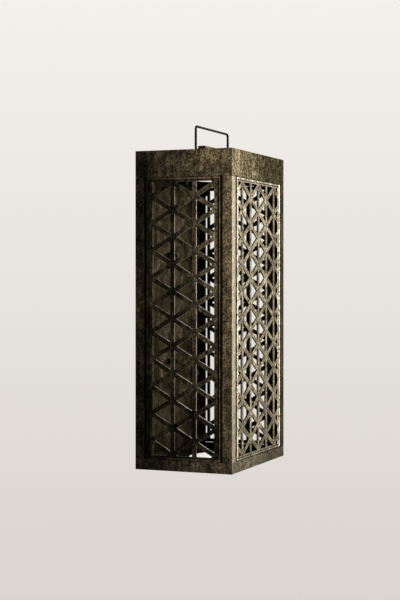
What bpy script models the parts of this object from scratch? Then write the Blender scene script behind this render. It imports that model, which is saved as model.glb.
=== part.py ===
"""Wall lantern: a dark bronze box with triangle lattices on three sides, two LED pucks and a wire bail.

Metres, +Z up. The origin is on the wall, at the centre of the wall bracket's rear face. The lamp stands
out from the wall towards -Y, its lattice door faces -Y, and +X is on the right seen from the front.
"""

import math

import bmesh
import bpy
from mathutils import Matrix, Vector

# Overall box
BODY_WIDTH = 0.195
BODY_DEPTH = 0.130
BODY_HEIGHT = 0.400

# Gap between faces that rest on each other, and round a pin or a screw in its hole
FIT = 0.0003
PIN_FIT = 0.0002

# How far a cutter runs on past the wall that it cuts
THROUGH = 0.002

# Cap and base: folded sheet with a flat inner plate each
CAP_BAND = 0.034
BASE_BAND = 0.0135
SHELL_WALL = 0.002
PLATE = 0.0015
CEILING_RISE = 0.0075
TRAY_SHY = 0.0008
FLANGE_SHY = 0.0005
FLANGE_CLEAR = 0.001

# Corner posts: angle bars whose ends are rebated into the cap and the base, with a stop behind a side panel
POST_FACE = 0.0125
POST_WALL = 0.004
STOP_WALL = 0.001
STOP_LAP = 0.003
FRONT_STOP_LAP = 0.007
STOP_SHY = 0.0002

# Tie rods that clamp the cap, the posts and the base together
ROD_DIAMETER = 0.004
ROD_CLEAR = 0.004
ROD_SHY = 0.008
ROD_TAIL = 0.0007
BOSS_WALL = 0.0025
NUT_WALL = 0.0015
TIE_NUT_HEIGHT = 0.0022

# Lattice panels: a thin frame with a lattice soldered to tabs behind it
SIDE_GAP = 0.003
END_GAP = 0.0008
SIDE_STILE = 0.0013
DOOR_STILE = 0.003
DOOR_LATCH_EASE = 0.002
DOOR_FOOT_EASE = 0.0008
RAIL = 0.0022
LATTICE_SETBACK = 0.0038
END_SETBACK = 0.0036
BORDER = 0.004
END_BORDER = 0.0012
NODE_INSET = 0.00235
BAR = 0.0055
ROWS = 10
LATTICE_SINK = 0.0005
LATTICE_DEPTH = 0.002
TAB_LENGTH = 0.010
TAB_INSET = 0.002
TAB_SHY = 0.0005
TAB_WALL = 0.0015
EAR_WIDTH = 0.012
EAR_WALL = 0.0015
EAR_SHY = 0.001
EAR_FROM_EDGE = 0.0195

# Small screws that hold the side panels, the back panel and the driver
SCREW_DIAMETER = 0.0025
SCREW_HEAD = 0.005
SCREW_HEAD_HEIGHT = 0.0015
SCREW_CROWN = 0.0004
SCREW_SOCKET = 0.0025
SCREW_SOCKET_DEPTH = 0.0008

# Back panel and wall bracket: the bracket is as thick as the posts, so that both lie on the wall
BACK_PANEL = 0.0015
BACK_SCREW_FROM_SIDE = 0.0475
BRACKET_WIDTH = 0.070
BRACKET_INSET = 0.060
BRACKET_CORNER = 0.006
SLOT_FROM_END = 0.025
SLOT_LENGTH = 0.014
SLOT_WIDTH = 0.0055
SLOT_SEAT = 0.0015
HEAD_ROOM = 0.0025
STUD_FROM_SLOT = 0.045
STUD_DIAMETER = 0.005
STUD_TAIL = 0.004
STUD_NUT_HEIGHT = 0.004

# Door hinge and catch
HINGE_PIN_DIAMETER = 0.0016
HINGE_PIN_IN_DOOR = 0.008
HINGE_PIN_SHY = 0.0025
HINGE_BOSS_WIDTH = 0.008
STRIKE_WALL = 0.001
MAGNET_DEPTH = 0.003
CATCH_LUG_WIDTH = 0.008

# Bail handle and its pivot block
HANDLE_OVERHANG = 0.0195
HANDLE_HEIGHT = 0.033
HANDLE_WIRE = 0.003
HANDLE_BEND = 0.004
HANDLE_CLEAR = 0.0015
HANDLE_FOOT_IN_BLOCK = 0.012
BLOCK_LENGTH = 0.073
BLOCK_DEPTH = 0.0105
BLOCK_HEIGHT = 0.010
BLOCK_EDGE = 0.0006
BLOCK_SCREW_SPACING = 0.030
BLOCK_SCREW_DIAMETER = 0.003
BLOCK_SCREW_HEAD = 0.0055
BLOCK_SCREW_HEAD_HEIGHT = 0.0018
BLOCK_SCREW_GRIP = 0.005

# LED pucks, one in the ceiling and one in the floor
PUCK_DIAMETER = 0.060
PUCK_LIP = 0.004
PUCK_DOME = 0.0042
DIFFUSER_WALL = 0.001
DISH_DEPTH = 0.0035
DISH_WALL = 0.0012
DISH_FLANGE = 0.0008
DISH_FLANGE_SHY = 0.0008
BOARD_WALL = 0.0012
SPIGOT_DEPTH = 0.002
SPIGOT_WALL = 0.0016

# Driver, terminal block, cable bush and the lead to the lower puck
DRIVER_WIDTH = 0.044
DRIVER_FROM_SIDE = 0.0115
DRIVER_FROM_WALL = 0.023
DRIVER_HEADROOM = 0.0052
DRIVER_EDGE = 0.002
DRIVER_FOOT = 0.008
DRIVER_FOOT_WIDTH = 0.022
DRIVER_FOOT_WALL = 0.0025
TERMINAL_WIDTH = 0.030
TERMINAL_DEPTH = 0.016
TERMINAL_HEIGHT = 0.013
TERMINAL_POLES = 3
TERMINAL_HOLE = 0.005
TERMINAL_WIRE_DEPTH = 0.005
TERMINAL_WELL_DEPTH = 0.003
TERMINAL_FROM_SIDE = 0.0395
TERMINAL_FROM_WALL = 0.030
BUSH_BORE = 0.007
BUSH_WALL = 0.00175
BUSH_FLANGE = 0.00175
BUSH_FLANGE_WALL = 0.002
LEAD_DIAMETER = 0.0024
LEAD_FROM_SIDE = 0.0175
LEAD_FROM_WALL = 0.0095
LEAD_BEND = 0.010
CLIP_SPACING = 0.160
CLIP_LENGTH = 0.006
CLIP_WALL = 0.0015

# Facets round circles, and steps round a bend or a corner
SMALL_ROUND = 8
BOSS_ROUND = 16
BUSH_ROUND = 24
LARGE_ROUND = 32
CORNER_STEPS = 3
DOME_STEPS = 5
BEND_STEPS = 6
WIRE_RESOLUTION = 4
LEAD_RESOLUTION = 2

# Places worked out from the sizes above: the box, its openings and its panels
LEFT = -BODY_WIDTH / 2
RIGHT = BODY_WIDTH / 2
FRONT = -BODY_DEPTH
MIDDLE = -BODY_DEPTH / 2
TOP = BODY_HEIGHT / 2
BOTTOM = -BODY_HEIGHT / 2
ROOF = TOP - SHELL_WALL
OPENING_TOP = TOP - CAP_BAND
OPENING_BOTTOM = BOTTOM + BASE_BAND
CEILING = OPENING_TOP + CEILING_RISE
DECK = CEILING + PLATE + FIT
NUT_TOP = BOTTOM + TRAY_SHY + ROD_TAIL + TIE_NUT_HEIGHT
FLOOR = NUT_TOP + FIT + PLATE
PANEL_TOP = OPENING_TOP - END_GAP
PANEL_BOTTOM = OPENING_BOTTOM + END_GAP
PANEL_CENTRE = (PANEL_TOP + PANEL_BOTTOM) / 2
PANEL_HEIGHT = PANEL_TOP - PANEL_BOTTOM
FRONT_PANEL_WIDTH = BODY_WIDTH - 2 * (POST_FACE + SIDE_GAP)
SIDE_PANEL_WIDTH = BODY_DEPTH - 2 * (POST_FACE + SIDE_GAP)

# Depths behind a lamp's face: ears, flanges, tabs, frames and the stops behind panels and flanges
EAR_FACE = SHELL_WALL + FIT
FLANGE_FACE = EAR_FACE + EAR_WALL + FIT
TAB_FACE = LATTICE_SINK + LATTICE_DEPTH + FIT
PANEL_BACK = TAB_FACE + TAB_WALL
FRAME_DEPTH = TAB_FACE + TAB_WALL / 2
STOP_FACE = max(PANEL_BACK, FLANGE_FACE + PLATE) + FIT
ROD_INSET = POST_WALL + ROD_CLEAR + ROD_DIAMETER / 2
ROD_TOP = ROOF - ROD_SHY

# Heights of the ears and of the screws through them
EAR_TOP = CEILING - EAR_SHY
EAR_BOTTOM = FLOOR + EAR_SHY
SCREW_LEVELS = (
    ("lower", (OPENING_BOTTOM + EAR_BOTTOM) / 2),
    ("upper", (OPENING_TOP + EAR_TOP) / 2),
)

# Wall side
BRACKET_WALL = POST_WALL
BRACKET_HEIGHT = BODY_HEIGHT - 2 * BRACKET_INSET
SLOT_HEIGHT = BRACKET_HEIGHT / 2 - SLOT_FROM_END
STUD_HEIGHT = SLOT_HEIGHT - STUD_FROM_SLOT
BACK_PANEL_REAR = -(BRACKET_WALL + FIT)
BACK_PANEL_FACE = BACK_PANEL_REAR - BACK_PANEL
BACK_SCREW_SEAT = BACK_PANEL_FACE - FIT - PLATE - FIT
STUD_TIP = BACK_PANEL_FACE - FIT - STUD_NUT_HEIGHT - STUD_TAIL

# Joint axes, the bail, the pucks and the wiring
HINGE = Vector((FRONT_PANEL_WIDTH / 2 - DOOR_STILE / 2, FRONT + FRAME_DEPTH / 2, PANEL_CENTRE))
HINGE_PIN_IN_BOSS = CEILING_RISE - HINGE_PIN_SHY
HANDLE_SPAN = BLOCK_LENGTH + 2 * HANDLE_OVERHANG
PIVOT = Vector((0, MIDDLE, TOP + HANDLE_CLEAR + HANDLE_WIRE / 2))
DISH_DIAMETER = PUCK_DIAMETER - 2 * PUCK_LIP
PUCK_RISE = FIT + DISH_FLANGE + FIT + DIFFUSER_WALL + PUCK_DOME
DRIVER_X = RIGHT - DRIVER_FROM_SIDE - DRIVER_WIDTH / 2
DRIVER_LENGTH = BODY_DEPTH - 2 * DRIVER_FROM_WALL
DRIVER_TOP = ROOF - DRIVER_HEADROOM
TERMINAL_X = LEFT + TERMINAL_FROM_SIDE
BUSH_Z = (CEILING + PLATE + ROOF) / 2
BUSH_DIAMETER = BUSH_BORE + 2 * BUSH_WALL
LEAD_X = RIGHT - LEAD_FROM_SIDE
LEAD_Y = -LEAD_FROM_WALL

# Colour, roughness and metallic value of each finish
FINISHES = {
    "dark_bronze": ((0.085, 0.068, 0.045), 0.42, 1.0),
    "lattice_bronze": ((0.130, 0.105, 0.070), 0.45, 1.0),
    "brushed_brass": ((0.300, 0.230, 0.120), 0.38, 1.0),
    "zinc_steel": ((0.420, 0.420, 0.410), 0.40, 1.0),
    "cast_aluminium": ((0.560, 0.560, 0.550), 0.50, 1.0),
    "opal_acrylic": ((0.900, 0.890, 0.860), 0.30, 0.0),
    "white_plastic": ((0.720, 0.710, 0.680), 0.45, 0.0),
    "black_rubber": ((0.020, 0.020, 0.020), 0.70, 0.0),
    "brown_sleeve": ((0.060, 0.045, 0.030), 0.55, 0.0),
}


def clear_scene():
    for thing in list(bpy.data.objects):
        bpy.data.objects.remove(thing)


def finish_material(finish):
    """The material of one finish, made the first time it is asked for."""
    found = bpy.data.materials.get(finish)
    if found:
        return found
    colour, roughness, metallic = FINISHES[finish]
    material = bpy.data.materials.new(finish)
    material.use_nodes = True
    shader = material.node_tree.nodes["Principled BSDF"]
    shader.inputs["Base Color"].default_value = (*colour, 1)
    shader.inputs["Roughness"].default_value = roughness
    shader.inputs["Metallic"].default_value = metallic
    return material


def added(name, bm):
    """A new object in the scene from a bmesh, with its faces turned outwards."""
    bmesh.ops.recalc_face_normals(bm, faces=bm.faces)
    mesh = bpy.data.meshes.new(name)
    bm.to_mesh(mesh)
    bm.free()
    thing = bpy.data.objects.new(name, mesh)
    bpy.context.scene.collection.objects.link(thing)
    return thing


def box(low, high, name="box"):
    low = Vector(low)
    high = Vector(high)
    bm = bmesh.new()
    bmesh.ops.create_cube(bm, size=1)
    bmesh.ops.scale(bm, vec=high - low, verts=bm.verts)
    bmesh.ops.translate(bm, vec=(low + high) / 2, verts=bm.verts)
    return added(name, bm)


def pin(start, end, radius, sides=SMALL_ROUND, name="pin"):
    """A round bar from one point to another."""
    start = Vector(start)
    run = Vector(end) - start
    bm = bmesh.new()
    bmesh.ops.create_cone(
        bm, cap_ends=True, segments=sides, radius1=radius, radius2=radius, depth=run.length
    )
    turn = run.to_track_quat("Z", "Y").to_matrix().to_4x4()
    bmesh.ops.transform(bm, matrix=Matrix.Translation(start + run / 2) @ turn, verts=bm.verts)
    return added(name, bm)


def prism(outline, holes, low, high, name="prism"):
    """A plate with holes: flat outlines in X and Y, raised from one height to another."""
    bm = bmesh.new()
    edges = []
    for loop in [outline, *holes]:
        corners = [bm.verts.new((x, y, low)) for x, y in loop]
        for here, there in zip(corners, corners[1:] + corners[:1]):
            edges.append(bm.edges.new((here, there)))
    bmesh.ops.triangle_fill(bm, use_beauty=True, edges=edges)
    raised = bmesh.ops.extrude_face_region(bm, geom=bm.faces[:])["geom"]
    tops = [piece for piece in raised if isinstance(piece, bmesh.types.BMVert)]
    bmesh.ops.translate(bm, vec=(0, 0, high - low), verts=tops)
    return added(name, bm)


def turned(profile, sides, name="turned", ring=False):
    """A body turned round Z from (radius, height) points; a ring's profile is a closed loop."""
    bm = bmesh.new()
    points = [bm.verts.new((radius, 0, height)) for radius, height in profile]
    pairs = list(zip(points, points[1:]))
    if ring:
        pairs.append((points[-1], points[0]))
    edges = [bm.edges.new(pair) for pair in pairs]
    bmesh.ops.spin(
        bm, geom=points + edges, axis=(0, 0, 1), angle=2 * math.pi, steps=sides, use_merge=True
    )
    bmesh.ops.remove_doubles(bm, verts=bm.verts, dist=1e-6)
    return added(name, bm)


def smoothed(thing, degrees=40):
    """Shades a round piece smooth, with its corners left sharp."""
    thing.data.shade_smooth()
    thing.data.set_sharp_from_angle(angle=math.radians(degrees))
    return thing


def shaped(name, finish, body, joins=(), cuts=()):
    """The named sub-part: a body with helper solids joined to it and cut from it."""
    for helpers, operation in ((joins, "UNION"), (cuts, "DIFFERENCE")):
        for helper in helpers:
            step = body.modifiers.new(helper.name, "BOOLEAN")
            step.operation = operation
            step.object = helper
    if joins or cuts:
        graph = bpy.context.evaluated_depsgraph_get()
        body.data = bpy.data.meshes.new_from_object(body.evaluated_get(graph))
        body.modifiers.clear()
    for helper in [*joins, *cuts]:
        bpy.data.objects.remove(helper)
    body.name = name
    body.data.name = name
    body.data.materials.clear()
    body.data.materials.append(finish_material(finish))
    return body


def copied(source, name):
    """Another object with the same mesh."""
    twin = bpy.data.objects.new(name, source.data)
    bpy.context.scene.collection.objects.link(twin)
    return twin


def placed(thing, place, turn=(0, 0, 0)):
    thing.location = place
    thing.rotation_euler = turn
    return thing


def pivot_empty(name, place):
    empty = bpy.data.objects.new(name, None)
    empty.location = place
    bpy.context.scene.collection.objects.link(empty)
    return empty


def hung_on(empty, things):
    """Parents the pieces of a moving body to the empty on its axis, and leaves them where they are."""
    bpy.context.view_layer.update()
    for thing in things:
        thing.parent = empty
        thing.matrix_parent_inverse = empty.matrix_world.inverted()


def rectangle(width, height, middle=(0, 0)):
    x, y = middle
    half = width / 2
    tall = height / 2
    return [(x - half, y - tall), (x + half, y - tall), (x + half, y + tall), (x - half, y + tall)]


def arc(middle, radius, start, end, steps):
    """Points along a round stretch, with the angles in degrees."""
    angles = [math.radians(start + (end - start) * step / steps) for step in range(steps + 1)]
    return [(middle[0] + radius * math.cos(t), middle[1] + radius * math.sin(t)) for t in angles]


def circle(middle, radius, sides=SMALL_ROUND):
    return arc(middle, radius, 0, 360, sides)[:-1]


def slot(middle, length, width):
    """An upright slot with round ends, as an outline."""
    x, y = middle
    reach = (length - width) / 2
    upper = arc((x, y + reach), width / 2, 0, 180, SMALL_ROUND // 2)
    lower = arc((x, y - reach), width / 2, 180, 360, SMALL_ROUND // 2)
    return upper + lower


def rounded_rectangle(width, height, corner, steps=CORNER_STEPS):
    points = []
    for sign_x, sign_y, start in ((1, 1, 0), (-1, 1, 90), (-1, -1, 180), (1, -1, 270)):
        middle = (sign_x * (width / 2 - corner), sign_y * (height / 2 - corner))
        points += arc(middle, corner, start, start + 90, steps)
    return points


def faced(thing, turn_about_x):
    """Turns a helper's mesh about X, from flat on Z to facing along Y."""
    thing.data.transform(Matrix.Rotation(turn_about_x, 4, "X"))
    return thing


def corners(inset):
    """The four places at one inset from the box's corners, with each corner's name and turn."""
    return (
        ("front_left", LEFT + inset, FRONT + inset, 0),
        ("front_right", RIGHT - inset, FRONT + inset, math.pi / 2),
        ("back_right", RIGHT - inset, -inset, math.pi),
        ("back_left", LEFT + inset, -inset, -math.pi / 2),
    )


def screw(name, diameter, head, head_height, length):
    """A pan-head socket screw: its head's underside lies at the origin and its shank runs to -Z."""
    socket = SCREW_SOCKET / 2
    floor = head_height - SCREW_SOCKET_DEPTH
    profile = [
        (0, -length),
        (diameter / 2, -length),
        (diameter / 2, 0),
        (head / 2, 0),
        (head / 2, head_height - SCREW_CROWN),
        (head / 2 - SCREW_CROWN, head_height),
        (socket, head_height),
        (socket, floor),
        (0, floor),
    ]
    return smoothed(shaped(name, "zinc_steel", turned(profile, SMALL_ROUND)))


def hexagon_nut(name, finish, height, bore):
    """A hexagon nut that stands on the origin."""
    across = bore + 2 * NUT_WALL
    outline = circle((0, 0), across / math.sqrt(3), 6)
    hole = circle((0, 0), bore / 2 + PIN_FIT)
    return shaped(name, finish, prism(outline, [hole], 0, height))


def wall_bracket():
    """The strip that is screwed to the wall: two sunk slots for the wall screws, two studs for the lamp."""
    slots = [slot((0, side * SLOT_HEIGHT), SLOT_LENGTH, SLOT_WIDTH) for side in (-1, 1)]
    outline = rounded_rectangle(BRACKET_WIDTH, BRACKET_HEIGHT, BRACKET_CORNER)
    strip = faced(prism(outline, slots, 0, BRACKET_WALL), math.pi / 2)
    studs = []
    sinks = []
    for side in (-1, 1):
        height = side * STUD_HEIGHT
        studs.append(pin((0, -BRACKET_WALL / 2, height), (0, STUD_TIP, height), STUD_DIAMETER / 2))
        room = 2 * HEAD_ROOM
        head = slot((0, side * SLOT_HEIGHT), SLOT_LENGTH + room, SLOT_WIDTH + room)
        sinks.append(faced(prism(head, [], SLOT_SEAT, BRACKET_WALL + THROUGH), math.pi / 2))
    return shaped("wall_bracket", "zinc_steel", strip, joins=studs, cuts=sinks)


def bracket_nuts():
    """Two nuts inside the lamp that pull its back panel to the bracket."""
    first = hexagon_nut("bracket_nut_lower", "dark_bronze", STUD_NUT_HEIGHT, STUD_DIAMETER)
    upper = copied(first, "bracket_nut_upper")
    for nut, side in ((first, -1), (upper, 1)):
        placed(nut, (0, BACK_PANEL_FACE - FIT, side * STUD_HEIGHT), (math.pi / 2, 0, 0))


def back_screw_places():
    """Across and up: the back panel's screws go through the flanges of the ceiling plate and the base."""
    reach = BODY_WIDTH / 2 - BACK_SCREW_FROM_SIDE
    for level, height in SCREW_LEVELS:
        for side, across in (("left", -reach), ("right", reach)):
            yield f"{level}_{side}", across, height


def back_panel():
    """The closed sheet on the wall side, which the wall bracket's studs and nuts clamp."""
    width = BODY_WIDTH - 2 * (POST_WALL + FIT)
    low = FLOOR + FIT
    high = CEILING - FIT
    stud_holes = [
        circle((0, side * STUD_HEIGHT), STUD_DIAMETER / 2 + FIT) for side in (-1, 1)
    ]
    screw_holes = [
        circle((across, height), SCREW_DIAMETER / 2 + PIN_FIT)
        for _, across, height in back_screw_places()
    ]
    outline = rectangle(width, high - low, (0, (low + high) / 2))
    sheet = prism(outline, stud_holes + screw_holes, -BACK_PANEL_REAR, -BACK_PANEL_FACE)
    return shaped("back_panel", "dark_bronze", faced(sheet, math.pi / 2))


def back_screws():
    """Heads inside the lamp, shanks through the flange and the panel."""
    length = FIT + PLATE + FIT + BACK_PANEL + FIT
    first = None
    for name, across, height in back_screw_places():
        if first is None:
            first = screw(f"back_screw_{name}", SCREW_DIAMETER, SCREW_HEAD, SCREW_HEAD_HEIGHT, length)
            fixing = first
        else:
            fixing = copied(first, f"back_screw_{name}")
        placed(fixing, (across, BACK_SCREW_SEAT, height), (math.pi / 2, 0, 0))


def corner_posts():
    """Four angle bars: both ends are rebated, so that the inner skin runs on into the cap and the base.

    A thin bent strip on the side leaf stands behind the side panel and closes the gap beside it. On the front
    posts it is wide enough to close the slot beside the lattice too.
    """

    def angle_bar(outer, inner, reach):
        return [
            (outer, outer),
            (reach, outer),
            (reach, inner),
            (inner, inner),
            (inner, reach),
            (outer, reach),
        ]

    def strip(lap):
        back = STOP_FACE + STOP_WALL
        root = POST_WALL / 2
        bend = POST_FACE - STOP_SHY
        tip = POST_FACE + SIDE_GAP + lap
        return [
            (root, bend - STOP_WALL),
            (back, bend - STOP_WALL),
            (back, tip),
            (STOP_FACE, tip),
            (STOP_FACE, bend),
            (root, bend),
        ]

    def post(name, stop_outline):
        bar = prism(angle_bar(0, POST_WALL, POST_FACE), [], FLOOR + FIT, CEILING - FIT)
        skin = angle_bar(-THROUGH, SHELL_WALL + FIT, POST_FACE + THROUGH)
        rebates = [
            prism(skin, [], OPENING_TOP - FIT, CEILING + THROUGH),
            prism(skin, [], FLOOR - THROUGH, OPENING_BOTTOM + FIT),
        ]
        stop = prism(stop_outline, [], OPENING_BOTTOM - STOP_LAP, OPENING_TOP + STOP_LAP)
        return shaped(name, "dark_bronze", bar, joins=[stop], cuts=rebates)

    wide = strip(FRONT_STOP_LAP)
    narrow = strip(STOP_LAP)
    posts = (
        post("post_front_left", wide),
        post("post_front_right", [(y, x) for x, y in wide]),
        post("post_back_right", narrow),
        post("post_back_left", [(y, x) for x, y in narrow]),
    )
    for body, (_, x, y, turn) in zip(posts, corners(0)):
        placed(body, (x, y, 0), (0, 0, turn))


def hinge_boss(low, high):
    """A block inside the front wall that carries a hinge pin."""
    half = HINGE_BOSS_WIDTH / 2
    return box(
        (HINGE.x - half, FRONT + SHELL_WALL / 2, low), (HINGE.x + half, HINGE.y + half, high)
    )


def hinge_hole(low, high):
    return pin((HINGE.x, HINGE.y, low), (HINGE.x, HINGE.y, high), HINGE_PIN_DIAMETER / 2 + PIN_FIT)


def hollow_cap():
    """The cap's five walls, open below."""
    inside = box(
        (LEFT + SHELL_WALL, FRONT + SHELL_WALL, OPENING_TOP - THROUGH),
        (RIGHT - SHELL_WALL, -SHELL_WALL, ROOF),
    )
    outside = box((LEFT, FRONT, OPENING_TOP), (RIGHT, 0, TOP))
    return shaped("hollow_cap", "dark_bronze", outside, cuts=[inside])


def block_screw_holes(low, high, clearance):
    """Two upright holes for the screws of the bail's block."""
    radius = BLOCK_SCREW_DIAMETER / 2 + clearance
    places = (-BLOCK_SCREW_SPACING / 2, BLOCK_SCREW_SPACING / 2)
    return [pin((x, MIDDLE, low), (x, MIDDLE, high), radius) for x in places]


def top_cap():
    """Deep lid of folded sheet: four bosses take the tie rods, and the bail's block is screwed on top."""
    bosses = []
    rod_holes = []
    for _, x, y, _ in corners(ROD_INSET):
        boss_radius = ROD_DIAMETER / 2 + BOSS_WALL
        bosses.append(pin((x, y, DECK), (x, y, ROOF + SHELL_WALL / 2), boss_radius, BOSS_ROUND))
        rod_holes.append(pin((x, y, CEILING), (x, y, ROD_TOP + FIT), ROD_DIAMETER / 2 + PIN_FIT))
    hinge = hinge_boss(OPENING_TOP + FLANGE_SHY, CEILING - FIT)
    bush_hole = pin(
        (TERMINAL_X, -SHELL_WALL - THROUGH, BUSH_Z),
        (TERMINAL_X, THROUGH, BUSH_Z),
        BUSH_DIAMETER / 2 + PIN_FIT,
        BUSH_ROUND,
    )
    pin_hole = hinge_hole(OPENING_TOP - THROUGH, OPENING_TOP + HINGE_PIN_IN_BOSS + FIT)
    block_holes = block_screw_holes(ROOF - THROUGH, TOP + THROUGH, FIT)
    return shaped(
        "top_cap",
        "dark_bronze",
        hollow_cap(),
        joins=[*bosses, hinge],
        cuts=[*rod_holes, *block_holes, bush_hole, pin_hole],
    )


def puck_hole(low, high):
    return pin((0, MIDDLE, low), (0, MIDDLE, high), DISH_DIAMETER / 2 + FIT, LARGE_ROUND)


def panel_screw_places():
    """Name, place of the head's seat and turn: four screws for each side panel."""
    seat = FLANGE_FACE + PLATE + FIT
    reach = SIDE_PANEL_WIDTH / 2 - EAR_FROM_EDGE
    for side, x, turn in (("left", LEFT + seat, math.pi / 2), ("right", RIGHT - seat, -math.pi / 2)):
        for level, height in SCREW_LEVELS:
            for end, y in (("back", MIDDLE + reach), ("front", MIDDLE - reach)):
                yield f"{side}_{level}_{end}", Vector((x, y, height)), turn


def flanges(low, high):
    """Three strips that stand on a plate's left, right and back edges, behind the panels' ears."""
    inner = FLANGE_FACE + PLATE
    shy = ROD_INSET + ROD_DIAMETER / 2 + FLANGE_CLEAR
    back = BACK_PANEL_FACE - FIT
    return [
        box((LEFT + FLANGE_FACE, FRONT + shy, low), (LEFT + inner, -shy, high)),
        box((RIGHT - inner, FRONT + shy, low), (RIGHT - FLANGE_FACE, -shy, high)),
        box((LEFT + shy, back - PLATE, low), (RIGHT - shy, back, high)),
    ]


def flange_holes(level):
    """Clearance holes for the panel screws and the back screws of one level."""
    radius = SCREW_DIAMETER / 2 + PIN_FIT
    holes = []
    for name, place, turn in panel_screw_places():
        if level in name:
            outwards = Vector((-math.copysign(1, turn), 0, 0))
            start = place - outwards * THROUGH
            holes.append(pin(start, place + outwards * (FIT + PLATE + FIT), radius))
    for name, across, height in back_screw_places():
        if level in name:
            start = (across, BACK_SCREW_SEAT - THROUGH, height)
            holes.append(pin(start, (across, BACK_PANEL_FACE, height), radius))
    return holes


def catch_place():
    """Left, right, lower and upper limits of the catch: they are those of the door's upper left tab."""
    left = -FRONT_PANEL_WIDTH / 2 + DOOR_LATCH_EASE + TAB_SHY
    right = -FRONT_PANEL_WIDTH / 2 + LATTICE_SETBACK + BORDER - TAB_SHY
    high = PANEL_TOP - TAB_INSET
    return left, right, high - TAB_LENGTH, high


def catch_depth():
    """How far behind the front the strike, the magnet and the lug begin, and where the lug ends."""
    strike = PANEL_BACK + FIT
    magnet = strike + STRIKE_WALL + FIT
    lug = magnet + MAGNET_DEPTH + FIT
    return strike, magnet, lug, lug + PLATE


def ceiling_plate():
    """The tray under the cap: it carries the driver, the upper puck, the screw flanges and the door catch."""
    shy = SHELL_WALL + FIT
    rod_holes = [circle((x, y), ROD_DIAMETER / 2 + FIT) for _, x, y, _ in corners(ROD_INSET)]
    lead_hole = circle((LEAD_X, LEAD_Y), LEAD_DIAMETER / 2 + FIT)
    driver_holes = [circle((x, y), SCREW_DIAMETER / 2 + PIN_FIT) for x, y in driver_screw_places()]
    outline = rectangle(BODY_WIDTH - 2 * shy, BODY_DEPTH - 2 * shy, (0, MIDDLE))
    plate = prism(outline, [*rod_holes, lead_hole, *driver_holes], CEILING, CEILING + PLATE)
    left, right, low, _ = catch_place()
    _, _, lug_face, lug_back = catch_depth()
    middle = (left + right) / 2
    lug = box(
        (middle - CATCH_LUG_WIDTH / 2, FRONT + lug_face, low),
        (middle + CATCH_LUG_WIDTH / 2, FRONT + lug_back, CEILING + PLATE / 2),
    )
    return shaped(
        "ceiling_plate",
        "dark_bronze",
        plate,
        joins=[*flanges(PANEL_TOP + FIT, CEILING + PLATE / 2), lug],
        cuts=[puck_hole(CEILING - THROUGH, CEILING + PLATE + THROUGH), *flange_holes("upper")],
    )


def base_tray():
    """Shallow folded tray: its raised floor carries the lower puck and takes the tie rods."""
    outside = rectangle(BODY_WIDTH, BODY_DEPTH, (0, MIDDLE))
    inside = rectangle(BODY_WIDTH - 2 * SHELL_WALL, BODY_DEPTH - 2 * SHELL_WALL, (0, MIDDLE))
    rim = prism(outside, [inside], BOTTOM, OPENING_BOTTOM)
    seam = SHELL_WALL / 2
    under = FLOOR - PLATE
    floor = box((LEFT + seam, FRONT + seam, under), (RIGHT - seam, -seam, FLOOR))
    rod_holes = [
        pin((x, y, under - THROUGH), (x, y, FLOOR + THROUGH), ROD_DIAMETER / 2 + FIT)
        for _, x, y, _ in corners(ROD_INSET)
    ]
    low = FLOOR - PLATE / 2
    pin_hole = hinge_hole(OPENING_BOTTOM - HINGE_PIN_IN_BOSS - FIT, OPENING_BOTTOM + THROUGH)
    led_hole = puck_hole(under - THROUGH, FLOOR + THROUGH)
    return shaped(
        "base_tray",
        "dark_bronze",
        rim,
        joins=[floor, *flanges(low, PANEL_BOTTOM - FIT), hinge_boss(low, OPENING_BOTTOM - FLANGE_SHY)],
        cuts=[*rod_holes, led_hole, *flange_holes("lower"), pin_hole],
    )


def tie_rods():
    """Long studs from the cap's bosses down to a nut under the base's floor, hidden behind the posts."""
    foot = BOTTOM + TRAY_SHY
    rod = shaped("tie_rod_front_left", "dark_bronze", pin((0, 0, foot), (0, 0, ROD_TOP), ROD_DIAMETER / 2))
    smoothed(rod)
    nut = hexagon_nut("tie_nut_front_left", "zinc_steel", TIE_NUT_HEIGHT, ROD_DIAMETER)
    for name, x, y, _ in corners(ROD_INSET):
        here = name == "front_left"
        placed(rod if here else copied(rod, f"tie_rod_{name}"), (x, y, 0))
        placed(nut if here else copied(nut, f"tie_nut_{name}"), (x, y, NUT_TOP - TIE_NUT_HEIGHT))


def clipped(polygon, axis, limit, sign):
    """The part of a polygon on the inner side of one border."""
    kept = []
    for here, there in zip(polygon, polygon[1:] + polygon[:1]):
        inside_here = sign * (limit - here[axis]) >= 0
        inside_there = sign * (limit - there[axis]) >= 0
        if inside_here:
            kept.append(here)
        if inside_here != inside_there:
            share = (limit - here[axis]) / (there[axis] - here[axis])
            kept.append(tuple(a + (b - a) * share for a, b in zip(here, there)))
    return kept


def polygon_area(polygon):
    pairs = zip(polygon, polygon[1:] + polygon[:1])
    return abs(sum(a[0] * b[1] - b[0] * a[1] for a, b in pairs)) / 2


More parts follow.
